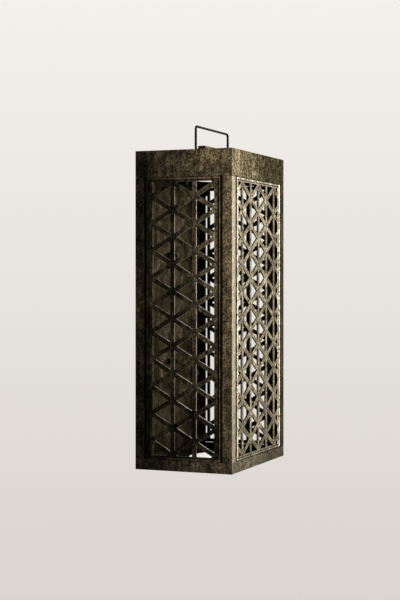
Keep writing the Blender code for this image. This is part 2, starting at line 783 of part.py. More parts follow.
def lattice_holes(width, height, offset, raised):
    """Openings of a triangle lattice with upright bars, cut off at the border.

    Nodes lie one pitch apart on upright lines one column apart, and every second line is half a pitch up.
    The offset, in columns, shifts the lines from the middle, and raised says which lines are the high ones.
    """
    pitch = (height - 2 * NODE_INSET) / ROWS
    column = pitch * math.sqrt(3) / 2
    inradius = pitch / (2 * math.sqrt(3))
    shrink = (inradius - BAR / 2) / inradius
    side = width / 2 - BORDER
    end = height / 2 - END_BORDER
    smallest = (BAR / 2) ** 2
    reach = math.ceil(width / 2 / column)
    holes = []
    for line in range(-reach - 1, reach + 1):
        x = (line + offset) * column
        high_line = line % 2 == raised
        for step in range(-1, 2 * ROWS + 2):
            middle = (step - ROWS) * pitch / 2
            base_on_left = (step % 2 == 1) != high_line
            base_x, tip_x = (x, x + column) if base_on_left else (x + column, x)
            triangle = [(base_x, middle - pitch / 2), (base_x, middle + pitch / 2), (tip_x, middle)]
            centre = (base_x + (tip_x - base_x) / 3, middle)
            hole = [
                tuple(c + (p - c) * shrink for p, c in zip(corner, centre)) for corner in triangle
            ]
            for axis, limit, sign in ((0, side, 1), (0, -side, -1), (1, end, 1), (1, -end, -1)):
                hole = clipped(hole, axis, limit, sign)
            if len(hole) > 2 and polygon_area(hole) > smallest:
                holes.append(hole)
    return holes


def lattice(name, panel_width, offset, raised):
    """One lattice, cut from plate, in panel coordinates: X across, Y into the lamp, Z up."""
    width = panel_width - 2 * LATTICE_SETBACK
    height = PANEL_HEIGHT - 2 * END_SETBACK
    holes = lattice_holes(width, height, offset, raised)
    plate = prism(rectangle(width, height), holes, -LATTICE_SINK - LATTICE_DEPTH, -LATTICE_SINK)
    return shaped(name, "lattice_bronze", faced(plate, math.pi / 2))


def frame_ring(panel_width, stile):
    """The thin frame and the tabs behind the lattice's border, in panel coordinates.

    Two tabs at each end are joined by a strip, which closes the slot between the rail and the lattice.
    """
    inside = rectangle(panel_width - 2 * stile, PANEL_HEIGHT - 2 * RAIL)
    ring = prism(rectangle(panel_width, PANEL_HEIGHT), [inside], -FRAME_DEPTH, 0)
    outer = panel_width / 2 - TAB_SHY
    inner = panel_width / 2 - LATTICE_SETBACK - BORDER + TAB_SHY
    end = PANEL_HEIGHT / 2 - TAB_SHY
    strip = PANEL_HEIGHT / 2 - END_SETBACK - END_BORDER + TAB_SHY
    foot = PANEL_HEIGHT / 2 - TAB_INSET - TAB_LENGTH
    upper = [
        (-outer, foot),
        (-inner, foot),
        (-inner, strip),
        (inner, strip),
        (inner, foot),
        (outer, foot),
        (outer, end),
        (-outer, end),
    ]
    lower = [(-x, -z) for x, z in upper]
    tabs = [faced(prism(outline, [], -PANEL_BACK, -TAB_FACE), math.pi / 2) for outline in (upper, lower)]
    half = TAB_LENGTH / 2
    tabs.append(box((-outer, TAB_FACE, -half), (-inner, PANEL_BACK, half)))
    tabs.append(box((inner, TAB_FACE, -half), (outer, PANEL_BACK, half)))
    return faced(ring, math.pi / 2), tabs


def side_frame(name):
    """A fixed side frame: two ears at each end reach behind the cap and the base, where screws hold them."""
    ring, tabs = frame_ring(SIDE_PANEL_WIDTH, SIDE_STILE)
    ears = []
    holes = []
    half = EAR_WIDTH / 2
    reach = SIDE_PANEL_WIDTH / 2 - EAR_FROM_EDGE
    roots = (PANEL_BOTTOM + RAIL / 2, PANEL_TOP - RAIL / 2)
    for across in (-reach, reach):
        for root, tip, (_, hole_height) in zip(roots, (EAR_BOTTOM, EAR_TOP), SCREW_LEVELS):
            low, high = sorted((root - PANEL_CENTRE, tip - PANEL_CENTRE))
            middle = hole_height - PANEL_CENTRE
            ear_back = EAR_FACE + EAR_WALL
            ears.append(box((across - half, EAR_FACE, low), (across + half, ear_back, high)))
            start = (across, EAR_FACE - THROUGH, middle)
            holes.append(pin(start, (across, ear_back + THROUGH, middle), SCREW_DIAMETER / 2 + PIN_FIT))
    return shaped(name, "dark_bronze", ring, joins=tabs + ears, cuts=holes)


def side_panels():
    """Left and right panels, each the other's mirror image, turned to face outwards."""
    for side, x, turn, raised in (("left", LEFT, -math.pi / 2, 0), ("right", RIGHT, math.pi / 2, 1)):
        place = (x, MIDDLE, PANEL_CENTRE)
        placed(side_frame(f"{side}_frame"), place, (0, 0, turn))
        placed(lattice(f"{side}_lattice", SIDE_PANEL_WIDTH, 1 / 2, raised), place, (0, 0, turn))


def panel_screws():
    """Eight screws from the inside, through a flange and into a frame's ear."""
    length = FIT + PLATE + EAR_WALL
    first = None
    for name, place, turn in panel_screw_places():
        if first is None:
            first = screw(f"panel_screw_{name}", SCREW_DIAMETER, SCREW_HEAD, SCREW_HEAD_HEIGHT, length)
            fixing = first
        else:
            fixing = copied(first, f"panel_screw_{name}")
        placed(fixing, place, (0, turn, 0))


def door_frame():
    """The front frame: its right stile is drilled at both ends for the hinge pins.

    Its latch edge and its foot are eased, so that it swings clear of the post and the base.
    """
    ring, tabs = frame_ring(FRONT_PANEL_WIDTH, DOOR_STILE)
    half = PANEL_HEIGHT / 2
    side = FRONT_PANEL_WIDTH / 2
    past = PANEL_BACK + THROUGH
    eased = [
        box((-side - THROUGH, -THROUGH, -half - THROUGH), (-side + DOOR_LATCH_EASE, past, half + THROUGH)),
        box((-side - THROUGH, -THROUGH, -half - THROUGH), (side + THROUGH, past, -half + DOOR_FOOT_EASE)),
    ]
    depth = FRAME_DEPTH / 2
    radius = HINGE_PIN_DIAMETER / 2 + PIN_FIT
    drilled = []
    for end in (-1, 1):
        bottom = (HINGE.x, depth, end * (half - HINGE_PIN_IN_DOOR - FIT))
        drilled.append(pin(bottom, (HINGE.x, depth, end * (half + THROUGH)), radius))
    frame = shaped("door_frame", "dark_bronze", ring, joins=tabs, cuts=[*eased, *drilled])
    return placed(frame, (0, FRONT, PANEL_CENTRE))


def hinge_pins():
    """Two short pins, held in the stile and free in the bosses of the cap and the base."""
    radius = HINGE_PIN_DIAMETER / 2
    pins = []
    for name, end, edge in (("lower", PANEL_BOTTOM, OPENING_BOTTOM), ("upper", PANEL_TOP, OPENING_TOP)):
        way = math.copysign(1, edge - end)
        in_door = (HINGE.x, HINGE.y, end - way * HINGE_PIN_IN_DOOR)
        in_boss = (HINGE.x, HINGE.y, edge + way * HINGE_PIN_IN_BOSS)
        body = pin(in_door, in_boss, radius)
        pins.append(smoothed(shaped(f"door_pin_{name}", "zinc_steel", body)))
    return pins


def door_catch():
    """A steel strike behind the door's upper left corner, and the magnet that faces it."""
    left, right, low, high = catch_place()
    strike_face, magnet_face, lug_face, _ = catch_depth()
    strike_back = FRONT + strike_face + STRIKE_WALL
    strike = box((left, FRONT + strike_face, low), (right, strike_back, high))
    magnet = box((left, FRONT + magnet_face, low), (right, FRONT + lug_face - FIT, high))
    shaped("door_magnet", "zinc_steel", magnet)
    return shaped("door_strike", "zinc_steel", strike)


def door():
    """The hinged front panel: every piece of it turns about the two pins."""
    grille = lattice("door_lattice", FRONT_PANEL_WIDTH, 0, 1)
    placed(grille, (0, FRONT, PANEL_CENTRE))
    hung_on(pivot_empty("door_hinge", HINGE), [door_frame(), grille, door_catch(), *hinge_pins()])


def edged(thing, width, segments):
    """Breaks every edge of a block."""
    edge = thing.modifiers.new("edge", "BEVEL")
    edge.width = width
    edge.segments = segments
    return thing


def handle_block():
    """The bar on the cap that the bail pivots in: a bore in each end, two tapped holes underneath."""
    foot = TOP + FIT
    half = BLOCK_LENGTH / 2
    deep = BLOCK_DEPTH / 2
    bar = box((-half, MIDDLE - deep, foot), (half, MIDDLE + deep, TOP + BLOCK_HEIGHT))
    bores = []
    for side in (-1, 1):
        inner = Vector((side * (half - HANDLE_FOOT_IN_BLOCK - FIT), PIVOT.y, PIVOT.z))
        outer = Vector((side * (half + THROUGH), PIVOT.y, PIVOT.z))
        bores.append(pin(inner, outer, HANDLE_WIRE / 2 + PIN_FIT))
    tapped = block_screw_holes(foot - THROUGH, foot + BLOCK_SCREW_GRIP + FIT, PIN_FIT)
    shaped("handle_block", "brushed_brass", edged(bar, BLOCK_EDGE, 1), cuts=[*bores, *tapped])


def block_screws():
    """Two screws from inside the cap, up into the block."""
    seat = ROOF - FIT
    length = FIT + SHELL_WALL + FIT + BLOCK_SCREW_GRIP
    first = screw(
        "block_screw_left", BLOCK_SCREW_DIAMETER, BLOCK_SCREW_HEAD, BLOCK_SCREW_HEAD_HEIGHT, length
    )
    second = copied(first, "block_screw_right")
    for fixing, side in ((first, -1), (second, 1)):
        placed(fixing, (side * BLOCK_SCREW_SPACING / 2, MIDDLE, seat), (math.pi, 0, 0))


def tube(name, points, diameter, finish, resolution):
    """A round wire or lead along its centre line."""
    curve = bpy.data.curves.new(name, "CURVE")
    curve.dimensions = "3D"
    curve.bevel_depth = diameter / 2
    curve.bevel_resolution = resolution
    curve.use_fill_caps = True
    spline = curve.splines.new("POLY")
    spline.points.add(len(points) - 1)
    for place, point in zip(spline.points, points):
        place.co = (*point, 1)
    curve.materials.append(finish_material(finish))
    thing = bpy.data.objects.new(name, curve)
    bpy.context.scene.collection.objects.link(thing)
    return thing


def handle():
    """The bail: one wire with two inward feet, two legs and a grip, in coordinates about its pivot axis."""
    leg = HANDLE_SPAN / 2
    grip = TOP + HANDLE_HEIGHT - PIVOT.z
    bend = HANDLE_BEND
    foot = BLOCK_LENGTH / 2 - HANDLE_FOOT_IN_BLOCK
    half = [(foot, 0)]
    half += arc((leg - bend, bend), bend, -90, 0, BEND_STEPS)
    half += arc((leg - bend, grip - bend), bend, 0, 90, BEND_STEPS)
    other_half = [(-x, z) for x, z in reversed(half)]
    points = [(x, 0, z) for x, z in half + other_half]
    wire = tube("handle", points, HANDLE_WIRE, "dark_bronze", WIRE_RESOLUTION)
    hung_on(pivot_empty("handle_pivot", PIVOT), [placed(wire, PIVOT)])


def dome(radius, foot):
    """A shallow dome's (radius, height) points, from its crown out to its foot."""
    shares = [step / DOME_STEPS for step in range(DOME_STEPS + 1)]
    return [(radius * share, foot + PUCK_DOME * (1 - share**2)) for share in shares]


def led_puck(level, place, turn):
    """Dish, LED board and opal diffuser: light leaves along +Z, and the plate's face is at the origin."""
    dish_radius = DISH_DIAMETER / 2
    inner = dish_radius - DISH_WALL
    under = -(DISH_DEPTH + DISH_WALL) + FIT
    dish_floor = under + DISH_WALL
    rim = PUCK_DIAMETER / 2
    flange_edge = rim - DISH_FLANGE_SHY
    flange_top = FIT + DISH_FLANGE
    lid = flange_top + FIT
    board_foot = dish_floor + FIT
    spigot = inner - FIT
    dish = [
        (0, under),
        (dish_radius, under),
        (dish_radius, FIT),
        (flange_edge, FIT),
        (flange_edge, flange_top),
        (inner, flange_top),
        (inner, dish_floor),
        (0, dish_floor),
    ]
    board = [
        (0, board_foot),
        (spigot, board_foot),
        (spigot, board_foot + BOARD_WALL),
        (0, board_foot + BOARD_WALL),
    ]
    diffuser = [
        *dome(spigot - SPIGOT_WALL, lid),
        (spigot - SPIGOT_WALL, lid - SPIGOT_DEPTH),
        (spigot, lid - SPIGOT_DEPTH),
        (spigot, lid),
        (rim, lid),
        *reversed(dome(rim, lid + DIFFUSER_WALL)),
    ]
    for piece, profile, finish in (
        ("dish", dish, "cast_aluminium"),
        ("board", board, "white_plastic"),
        ("diffuser", diffuser, "opal_acrylic"),
    ):
        body = shaped(f"{level}_led_{piece}", finish, turned(profile, LARGE_ROUND))
        placed(smoothed(body), place, turn)


def led_pucks():
    led_puck("lower", (0, MIDDLE, FLOOR), (0, 0, 0))
    led_puck("upper", (0, MIDDLE, CEILING), (math.pi, 0, 0))


def driver_screw_places():
    reach = (DRIVER_LENGTH + DRIVER_FOOT) / 2
    return ((DRIVER_X, MIDDLE - reach), (DRIVER_X, MIDDLE + reach))


def led_driver():
    """The LED supply: a moulded case with a foot at each end, screwed to the ceiling plate."""
    half_width = DRIVER_WIDTH / 2
    half_length = DRIVER_LENGTH / 2
    case = box(
        (DRIVER_X - half_width, MIDDLE - half_length, DECK),
        (DRIVER_X + half_width, MIDDLE + half_length, DRIVER_TOP),
    )
    foot = DRIVER_FOOT_WIDTH / 2
    strip = box(
        (DRIVER_X - foot, MIDDLE - half_length - DRIVER_FOOT, DECK + FIT),
        (DRIVER_X + foot, MIDDLE + half_length + DRIVER_FOOT, DECK + DRIVER_FOOT_WALL),
    )
    foot_top = DECK + DRIVER_FOOT_WALL
    holes = [
        pin((x, y, DECK - THROUGH), (x, y, foot_top + THROUGH), SCREW_DIAMETER / 2 + PIN_FIT)
        for x, y in driver_screw_places()
    ]
    shaped("led_driver", "white_plastic", edged(case, DRIVER_EDGE, 2), joins=[strip], cuts=holes)


def driver_screws():
    """Two screws through the driver's feet into the ceiling plate."""
    seat = DECK + DRIVER_FOOT_WALL + FIT
    length = FIT + DRIVER_FOOT_WALL + FIT + PLATE
    front, back = driver_screw_places()
    first = screw("driver_screw_front", SCREW_DIAMETER, SCREW_HEAD, SCREW_HEAD_HEIGHT, length)
    placed(first, (*front, seat))
    placed(copied(first, "driver_screw_back"), (*back, seat))


def terminal_block():
    """Mains terminals on the ceiling plate, beside the cable bush: a wire hole and a screw well a pole."""
    rear = -TERMINAL_FROM_WALL
    half = TERMINAL_WIDTH / 2
    top = DECK + TERMINAL_HEIGHT
    case = box(
        (TERMINAL_X - half, rear - TERMINAL_DEPTH, DECK), (TERMINAL_X + half, rear, top)
    )
    radius = TERMINAL_HOLE / 2
    middle = rear - TERMINAL_DEPTH / 2
    wire_height = DECK + TERMINAL_HEIGHT / 2
    pole_width = TERMINAL_WIDTH / TERMINAL_POLES
    wells = []
    for pole in range(TERMINAL_POLES):
        x = TERMINAL_X - half + (pole + 1 / 2) * pole_width
        wire_end = (x, rear - TERMINAL_WIRE_DEPTH, wire_height)
        wells.append(pin(wire_end, (x, rear + THROUGH, wire_height), radius))
        well_floor = (x, middle, top - TERMINAL_WELL_DEPTH)
        wells.append(pin(well_floor, (x, middle, top + THROUGH), radius))
    shaped("terminal_block", "white_plastic", case, cuts=wells)


def cable_bush():
    """A rubber bush pressed into the cap's rear wall from inside, flush with the wall's outer face."""
    bore = BUSH_BORE / 2
    barrel = BUSH_DIAMETER / 2
    flange = SHELL_WALL + FIT
    profile = [
        (bore, FIT),
        (barrel, FIT),
        (barrel, flange),
        (barrel + BUSH_FLANGE, flange),
        (barrel + BUSH_FLANGE, flange + BUSH_FLANGE_WALL),
        (bore, flange + BUSH_FLANGE_WALL),
    ]
    bush = shaped("cable_bush", "black_rubber", turned(profile, BUSH_ROUND, ring=True))
    placed(smoothed(bush), (TERMINAL_X, 0, BUSH_Z), (math.pi / 2, 0, 0))


def lower_led_lead():
    """The lead from the driver: over the ceiling plate, down the corner and over the floor to the puck."""
    socket = Vector((LEAD_X, MIDDLE + DRIVER_LENGTH / 2 + FIT, (DECK + DRIVER_TOP) / 2))
    floor_height = FLOOR + FIT + LEAD_DIAMETER / 2
    towards_puck = Vector((-LEAD_X, MIDDLE - LEAD_Y, 0)).normalized()
    puck_edge = Vector((0, MIDDLE, floor_height)) - towards_puck * (PUCK_DIAMETER / 2 + FIT)
    points = [socket]
    for along, down in arc((0, 0), LEAD_BEND, 90, 0, BEND_STEPS):
        points.append(Vector((LEAD_X, LEAD_Y - LEAD_BEND + along, socket.z - LEAD_BEND + down)))
    for across, down in arc((0, 0), LEAD_BEND, 180, 270, BEND_STEPS):
        shift = towards_puck * (LEAD_BEND + across)
        points.append(Vector((LEAD_X, LEAD_Y, floor_height + LEAD_BEND + down)) + shift)
    points.append(puck_edge)
    tube("lower_led_lead", points, LEAD_DIAMETER, "brown_sleeve", LEAD_RESOLUTION)


def lead_clips():
    """Two saddles on the back panel that hold the lead in the corner."""
    rear = BACK_PANEL_FACE - FIT
    hold = LEAD_DIAMETER / 2 + FIT
    width = 2 * (hold + CLIP_WALL)
    front = LEAD_Y - hold - CLIP_WALL
    outline = rectangle(width, rear - front, (0, (rear + front) / 2))
    body = prism(outline, [circle((0, LEAD_Y), hold)], -CLIP_LENGTH / 2, CLIP_LENGTH / 2)
    lower = shaped("lead_clip_lower", "brown_sleeve", body)
    upper = copied(lower, "lead_clip_upper")
    placed(lower, (LEAD_X, 0, PANEL_CENTRE - CLIP_SPACING / 2))
    placed(upper, (LEAD_X, 0, PANEL_CENTRE + CLIP_SPACING / 2))


clear_scene()
wall_bracket()
bracket_nuts()
back_panel()
back_screws()
corner_posts()
base_tray()
ceiling_plate()
top_cap()
tie_rods()
side_panels()
panel_screws()
door()
led_pucks()
led_driver()
driver_screws()
terminal_block()
cable_bush()
lower_led_lead()
lead_clips()
handle_block()
block_screws()
handle()
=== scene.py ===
import math

import bmesh
import bpy
from mathutils import Matrix, Vector


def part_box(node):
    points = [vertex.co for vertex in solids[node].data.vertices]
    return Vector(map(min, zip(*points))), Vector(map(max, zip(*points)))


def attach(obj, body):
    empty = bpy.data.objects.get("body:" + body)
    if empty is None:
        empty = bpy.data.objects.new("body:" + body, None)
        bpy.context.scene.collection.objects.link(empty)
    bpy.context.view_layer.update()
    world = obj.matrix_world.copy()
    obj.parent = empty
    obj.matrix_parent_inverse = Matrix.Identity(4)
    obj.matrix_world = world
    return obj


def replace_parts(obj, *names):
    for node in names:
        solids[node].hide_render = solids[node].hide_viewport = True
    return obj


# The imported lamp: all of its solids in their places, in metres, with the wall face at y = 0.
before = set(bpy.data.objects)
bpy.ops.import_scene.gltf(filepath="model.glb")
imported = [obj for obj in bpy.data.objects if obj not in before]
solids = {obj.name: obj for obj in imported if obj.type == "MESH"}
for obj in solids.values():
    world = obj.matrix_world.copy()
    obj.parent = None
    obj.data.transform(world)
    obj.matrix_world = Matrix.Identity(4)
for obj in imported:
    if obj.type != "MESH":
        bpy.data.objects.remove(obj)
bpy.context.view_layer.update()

# Wall bracket: a strip of 4 mm steel, zinc plated, with two sunk slots and two welded studs.
# It is screwed to the wall first, and the lamp hangs on its studs.
MM = 0.001
ZINC_DULL = (0.33, 0.325, 0.31)
ZINC_BRIGHT = (0.60, 0.60, 0.585)
WELD_REACH = 0.01 * MM
FILED_ANGLE = math.radians(35)


def new_finish(name, metallic):
    """A finish and its Principled shader: 1 is metal, and 0 is not."""
    finish = bpy.data.materials.new(name)
    finish.use_nodes = True
    shader = finish.node_tree.nodes["Principled BSDF"]
    shader.inputs["Metallic"].default_value = metallic
    return finish, shader


def add_node(finish, kind, values=None, feeds=None, **settings):
    """A node in a finish or a world: plain values for its sockets, and the sockets that feed it."""
    node = finish.node_tree.nodes.new("ShaderNode" + kind)
    for setting, value in settings.items():
        setattr(node, setting, value)
    for socket, value in (values or {}).items():
        node.inputs[socket].default_value = value
    for socket, source in (feeds or {}).items():
        finish.node_tree.links.new(source, node.inputs[socket])
    return node


def feed(finish, source, target):
    """Joins one node's output to another's input."""
    finish.node_tree.links.new(source, target)


def grain(finish, scale, draw=(1, 1, 1), shift=(0, 0, 0), detail=4, rough=0.6):
    """Noise in the piece's own metres; a small number in draw pulls it out along that axis."""
    place = add_node(finish, "TexCoord").outputs["Object"]
    spread = add_node(finish, "Mapping", {"Scale": draw, "Location": shift}, {"Vector": place})
    noise = add_node(
        finish,
        "TexNoise",
        {"Scale": scale, "Detail": detail, "Roughness": rough},
        {"Vector": spread.outputs["Vector"]},
    )
    return noise.outputs["Fac"]


def graded(finish, source, stops):
    """Turns a grey value into colours, or into other greys, through a few stops."""
    node = add_node(finish, "ValToRGB", feeds={"Fac": source})
    marks = node.color_ramp.elements
    marks.remove(marks[1])
    for number, (position, colour) in enumerate(stops):
        mark = marks[0] if number == 0 else marks.new(position)
        mark.position = position
        mark.color = (*colour, 1) if isinstance(colour, tuple) else (colour, colour, colour, 1)
    return node.outputs["Color"]


def laid_over(finish, share, under, over, way="MIX"):
    """One colour on another. Each is a socket or a plain colour, and share says how much shows."""
    node = add_node(finish, "MixRGB", blend_type=way)
    for socket, source in (("Fac", share), ("Color1", under), ("Color2", over)):
        if isinstance(source, bpy.types.NodeSocket):
            feed(finish, source, node.inputs[socket])
        elif isinstance(source, tuple):
            node.inputs[socket].default_value = (*source, 1)
        else:
            node.inputs[socket].default_value = source
    return node.outputs["Color"]


def roughened(finish, shader, height, depth):
    """Fine relief in the surface, of this depth."""
    bump = add_node(finish, "Bump", {"Strength": 1.0, "Distance": depth}, {"Height": height})
    feed(finish, bump.outputs["Normal"], shader.inputs["Normal"])


def zinc_finish():
    """Zinc plate: grey crystal patches under a fine drawn grain."""
    finish, shader = new_finish("zinc_plate", 1.0)
    patches = grain(finish, 130, detail=5)
    drawn = grain(finish, 500, draw=(1, 1, 0.05), detail=3)
    tone = laid_over(finish, 0.35, patches, drawn)
    feed(finish, graded(finish, tone, [(0.34, ZINC_DULL), (0.64, ZINC_BRIGHT)]), shader.inputs["Base Color"])
    feed(finish, graded(finish, tone, [(0.3, 0.5), (0.7, 0.3)]), shader.inputs["Roughness"])
    roughened(finish, shader, drawn, 0.02 * MM)
    return finish


def in_finish(finish, *names):
    """Puts a finish on solids of the frame."""
    for name in names:
        solids[name].material_slots[0].material = finish


def ease_edges(*names, width):
    """Rounds the sharp edges of sheet and bar, as a file does."""
    for name in names:
        joined = solids[name].modifiers.new("joined_faces", "WELD")
        joined.merge_threshold = WELD_REACH
        eased = solids[name].modifiers.new("eased_edges", "BEVEL")
        eased.width = width
        eased.segments = 2
        eased.limit_method = "ANGLE"
        eased.angle_limit = FILED_ANGLE
        eased.harden_normals = True


zinc = zinc_finish()
in_finish(zinc, "wall_bracket")
ease_edges("wall_bracket", width=0.4 * MM)

# Corner posts, floor tray, ceiling plate and cap: the lamp's shell, of bronze angle and folded bronze sheet.
# Posts stand on the tray and carry the cap, and the ceiling plate hangs in the cap.
# All of it is chemically browned, cloudy, speckled and streaked. Lighter tones round the front left corner
# and on its front faces are a painted highlight, and its deeper parts are kept dark as painted shade.
SHELL = (
    "post_front_left", "post_front_right", "post_back_right", "post_back_left",
    "base_tray", "ceiling_plate", "top_cap",
)
# Each tone set: three patina tones, then a fourth that is a painted highlight near the front left corner.
BRONZE = ((0.0045, 0.0038, 0.0028), (0.013, 0.0105, 0.007), (0.030, 0.0245, 0.0155), (0.170, 0.130, 0.074))
TRAY = ((0.009, 0.0075, 0.0055), (0.022, 0.018, 0.0125), (0.040, 0.033, 0.022), (0.120, 0.096, 0.060))
# Lighter tones for the front faces of the tray and cap, away from the corner and near it: a painted
# highlight.
TRAY_FRONT_HIGHLIGHT = ((0.046, 0.039, 0.027), (0.235, 0.200, 0.141))
CAP = ((0.0045, 0.0038, 0.0028), (0.013, 0.0105, 0.007), (0.028, 0.0225, 0.0142), (0.119, 0.091, 0.052))
CAP_FRONT_HIGHLIGHT = ((0.038, 0.0333, 0.0245), (0.158, 0.131, 0.086))
CAP_HIGHLIGHT_FADE = (0.46, 0.96)
CAP_SHEEN = (0.40, 0.388, 0.366, 1)
# Bare tone for the light edges: painted edge highlight as well as wear.
BRONZE_BARE = (0.30, 0.262, 0.19)
# Lighter tones for the near post's front leaf: a painted highlight.
POST_FRONT_HIGHLIGHT = ((0.22, 0.191, 0.137), (0.265, 0.231, 0.168))
BRONZE_SHEEN = (0.505, 0.492, 0.468, 1)
# Centre and reach of the painted highlight round the front left corner.
PAINTED_HIGHLIGHT_CORNER = (-97.5 * MM, -112 * MM, 140 * MM)
PAINTED_HIGHLIGHT_REACH = (1 / 0.19, 1 / 0.10, 1 / 0.50)
SHELL_MIDDLE = (0, -65 * MM, 0)
# Half sizes of the outer skin: what lies deeper gets no painted highlight and stays dark as painted shade.
UNSHADED_SKIN = (94.85 * MM, 62.35 * MM, 197.35 * MM)


def multiplied(finish, first, second):
    """Two grey values multiplied."""
    node = add_node(finish, "Math", feeds={0: first, 1: second}, operation="MULTIPLY")
    return node.outputs["Value"]


def edge_band(finish, reach):
    """White where an edge turns within reach: there a rounded normal leaves the flat one."""
    rounded = add_node(finish, "Bevel", {"Radius": reach}, samples=6).outputs["Normal"]
    flat = add_node(finish, "NewGeometry").outputs["Normal"]
    meet = add_node(finish, "VectorMath", feeds={0: rounded, 1: flat}, operation="DOT_PRODUCT")
    return graded(finish, meet.outputs["Value"], [(0.80, 1.0), (0.985, 0.0)])


def unshaded_outside(finish):
    """White on the lamp's outer faces, and black on what lies deeper, which is kept dark as painted shade."""
    place = add_node(finish, "TexCoord").outputs["Object"]
    moved = add_node(finish, "VectorMath", {1: SHELL_MIDDLE}, {0: place}, operation="SUBTRACT")
    out = add_node(finish, "VectorMath", feeds={0: moved.outputs["Vector"]}, operation="ABSOLUTE")
    past = add_node(
        finish, "VectorMath", {1: UNSHADED_SKIN}, {0: out.outputs["Vector"]}, operation="SUBTRACT"
    )
    parts = add_node(finish, "SeparateXYZ", feeds={"Vector": past.outputs["Vector"]}).outputs
    most = add_node(finish, "Math", feeds={0: parts["X"], 1: parts["Y"]}, operation="MAXIMUM")
    most = add_node(finish, "Math", feeds={0: most.outputs[0], 1: parts["Z"]}, operation="MAXIMUM")
    return add_node(finish, "Math", {1: 0.0}, {0: most.outputs[0]}, operation="GREATER_THAN").outputs[0]


def painted_corner_highlight(finish):
    """White round the front left corner, where a highlight is painted, and black away from it and on deeper
    parts.
    """
    place = add_node(finish, "TexCoord").outputs["Object"]
    moved = add_node(finish, "VectorMath", {1: PAINTED_HIGHLIGHT_CORNER}, {0: place}, operation="SUBTRACT")
    scaled = add_node(
        finish, "VectorMath", {1: PAINTED_HIGHLIGHT_REACH}, {0: moved.outputs["Vector"]}, operation="MULTIPLY"
    )
    far = add_node(finish, "VectorMath", feeds={0: scaled.outputs["Vector"]}, operation="LENGTH")
    highlight_share = graded(finish, far.outputs["Value"], [(0.10, 1.0), (1.0, 0.0)])
    return multiplied(finish, highlight_share, unshaded_outside(finish))


def mottled(finish, colour):
    """Speckles in a patina: each colour is darkened or lightened in grains of one to five millimetres."""
    coarse = graded(finish, grain(finish, 130, shift=(3, 1, 2), detail=3), [(0.36, 0.26), (0.64, 0.78)])
    colour = laid_over(finish, 1.0, colour, coarse, "OVERLAY")
    fine = graded(finish, grain(finish, 420, detail=3, rough=0.7), [(0.40, 0.12), (0.60, 0.94)])
    colour = laid_over(finish, 1.0, colour, fine, "OVERLAY")
    streaks = graded(finish, grain(finish, 230, draw=(1, 1, 0.05), detail=3), [(0.34, 0.30), (0.66, 0.72)])
    return laid_over(finish, 1.0, colour, streaks, "OVERLAY")


def cut_walls(finish, face):
    """White on walls that turn away from one axis, and black on the faces that lie across it."""
    facing = add_node(finish, "TexCoord").outputs["Normal"]
    parts = add_node(finish, "SeparateXYZ", feeds={"Vector": facing})
    flat = add_node(finish, "Math", feeds={0: parts.outputs[face]}, operation="ABSOLUTE")
    return graded(finish, flat.outputs["Value"], [(0.35, 1.0), (0.60, 0.0)])


def flat_faces(finish, face):
    """White on the faces that lie across one axis, and black on the walls beside them."""
    return graded(finish, cut_walls(finish, face), [(0.0, 1.0), (1.0, 0.0)])


def painted_top_light(finish):
    """White on walls that look upwards, where light from above is painted in."""
    facing = add_node(finish, "TexCoord").outputs["Normal"]
    parts = add_node(finish, "SeparateXYZ", feeds={"Vector": facing})
    return graded(finish, parts.outputs["Z"], [(0.50, 0.0), (0.75, 1.0)])


def side_band(finish, past):
    """White beyond a distance from the lamp's middle, to the left and to the right."""
    place = add_node(finish, "TexCoord").outputs["Object"]
    parts = add_node(finish, "SeparateXYZ", feeds={"Vector": place})
    across = add_node(finish, "Math", feeds={0: parts.outputs["X"]}, operation="ABSOLUTE")
    limits = {"From Min": past, "From Max": past + 0.5 * MM}
    return add_node(finish, "MapRange", limits, {"Value": across.outputs["Value"]}).outputs["Result"]


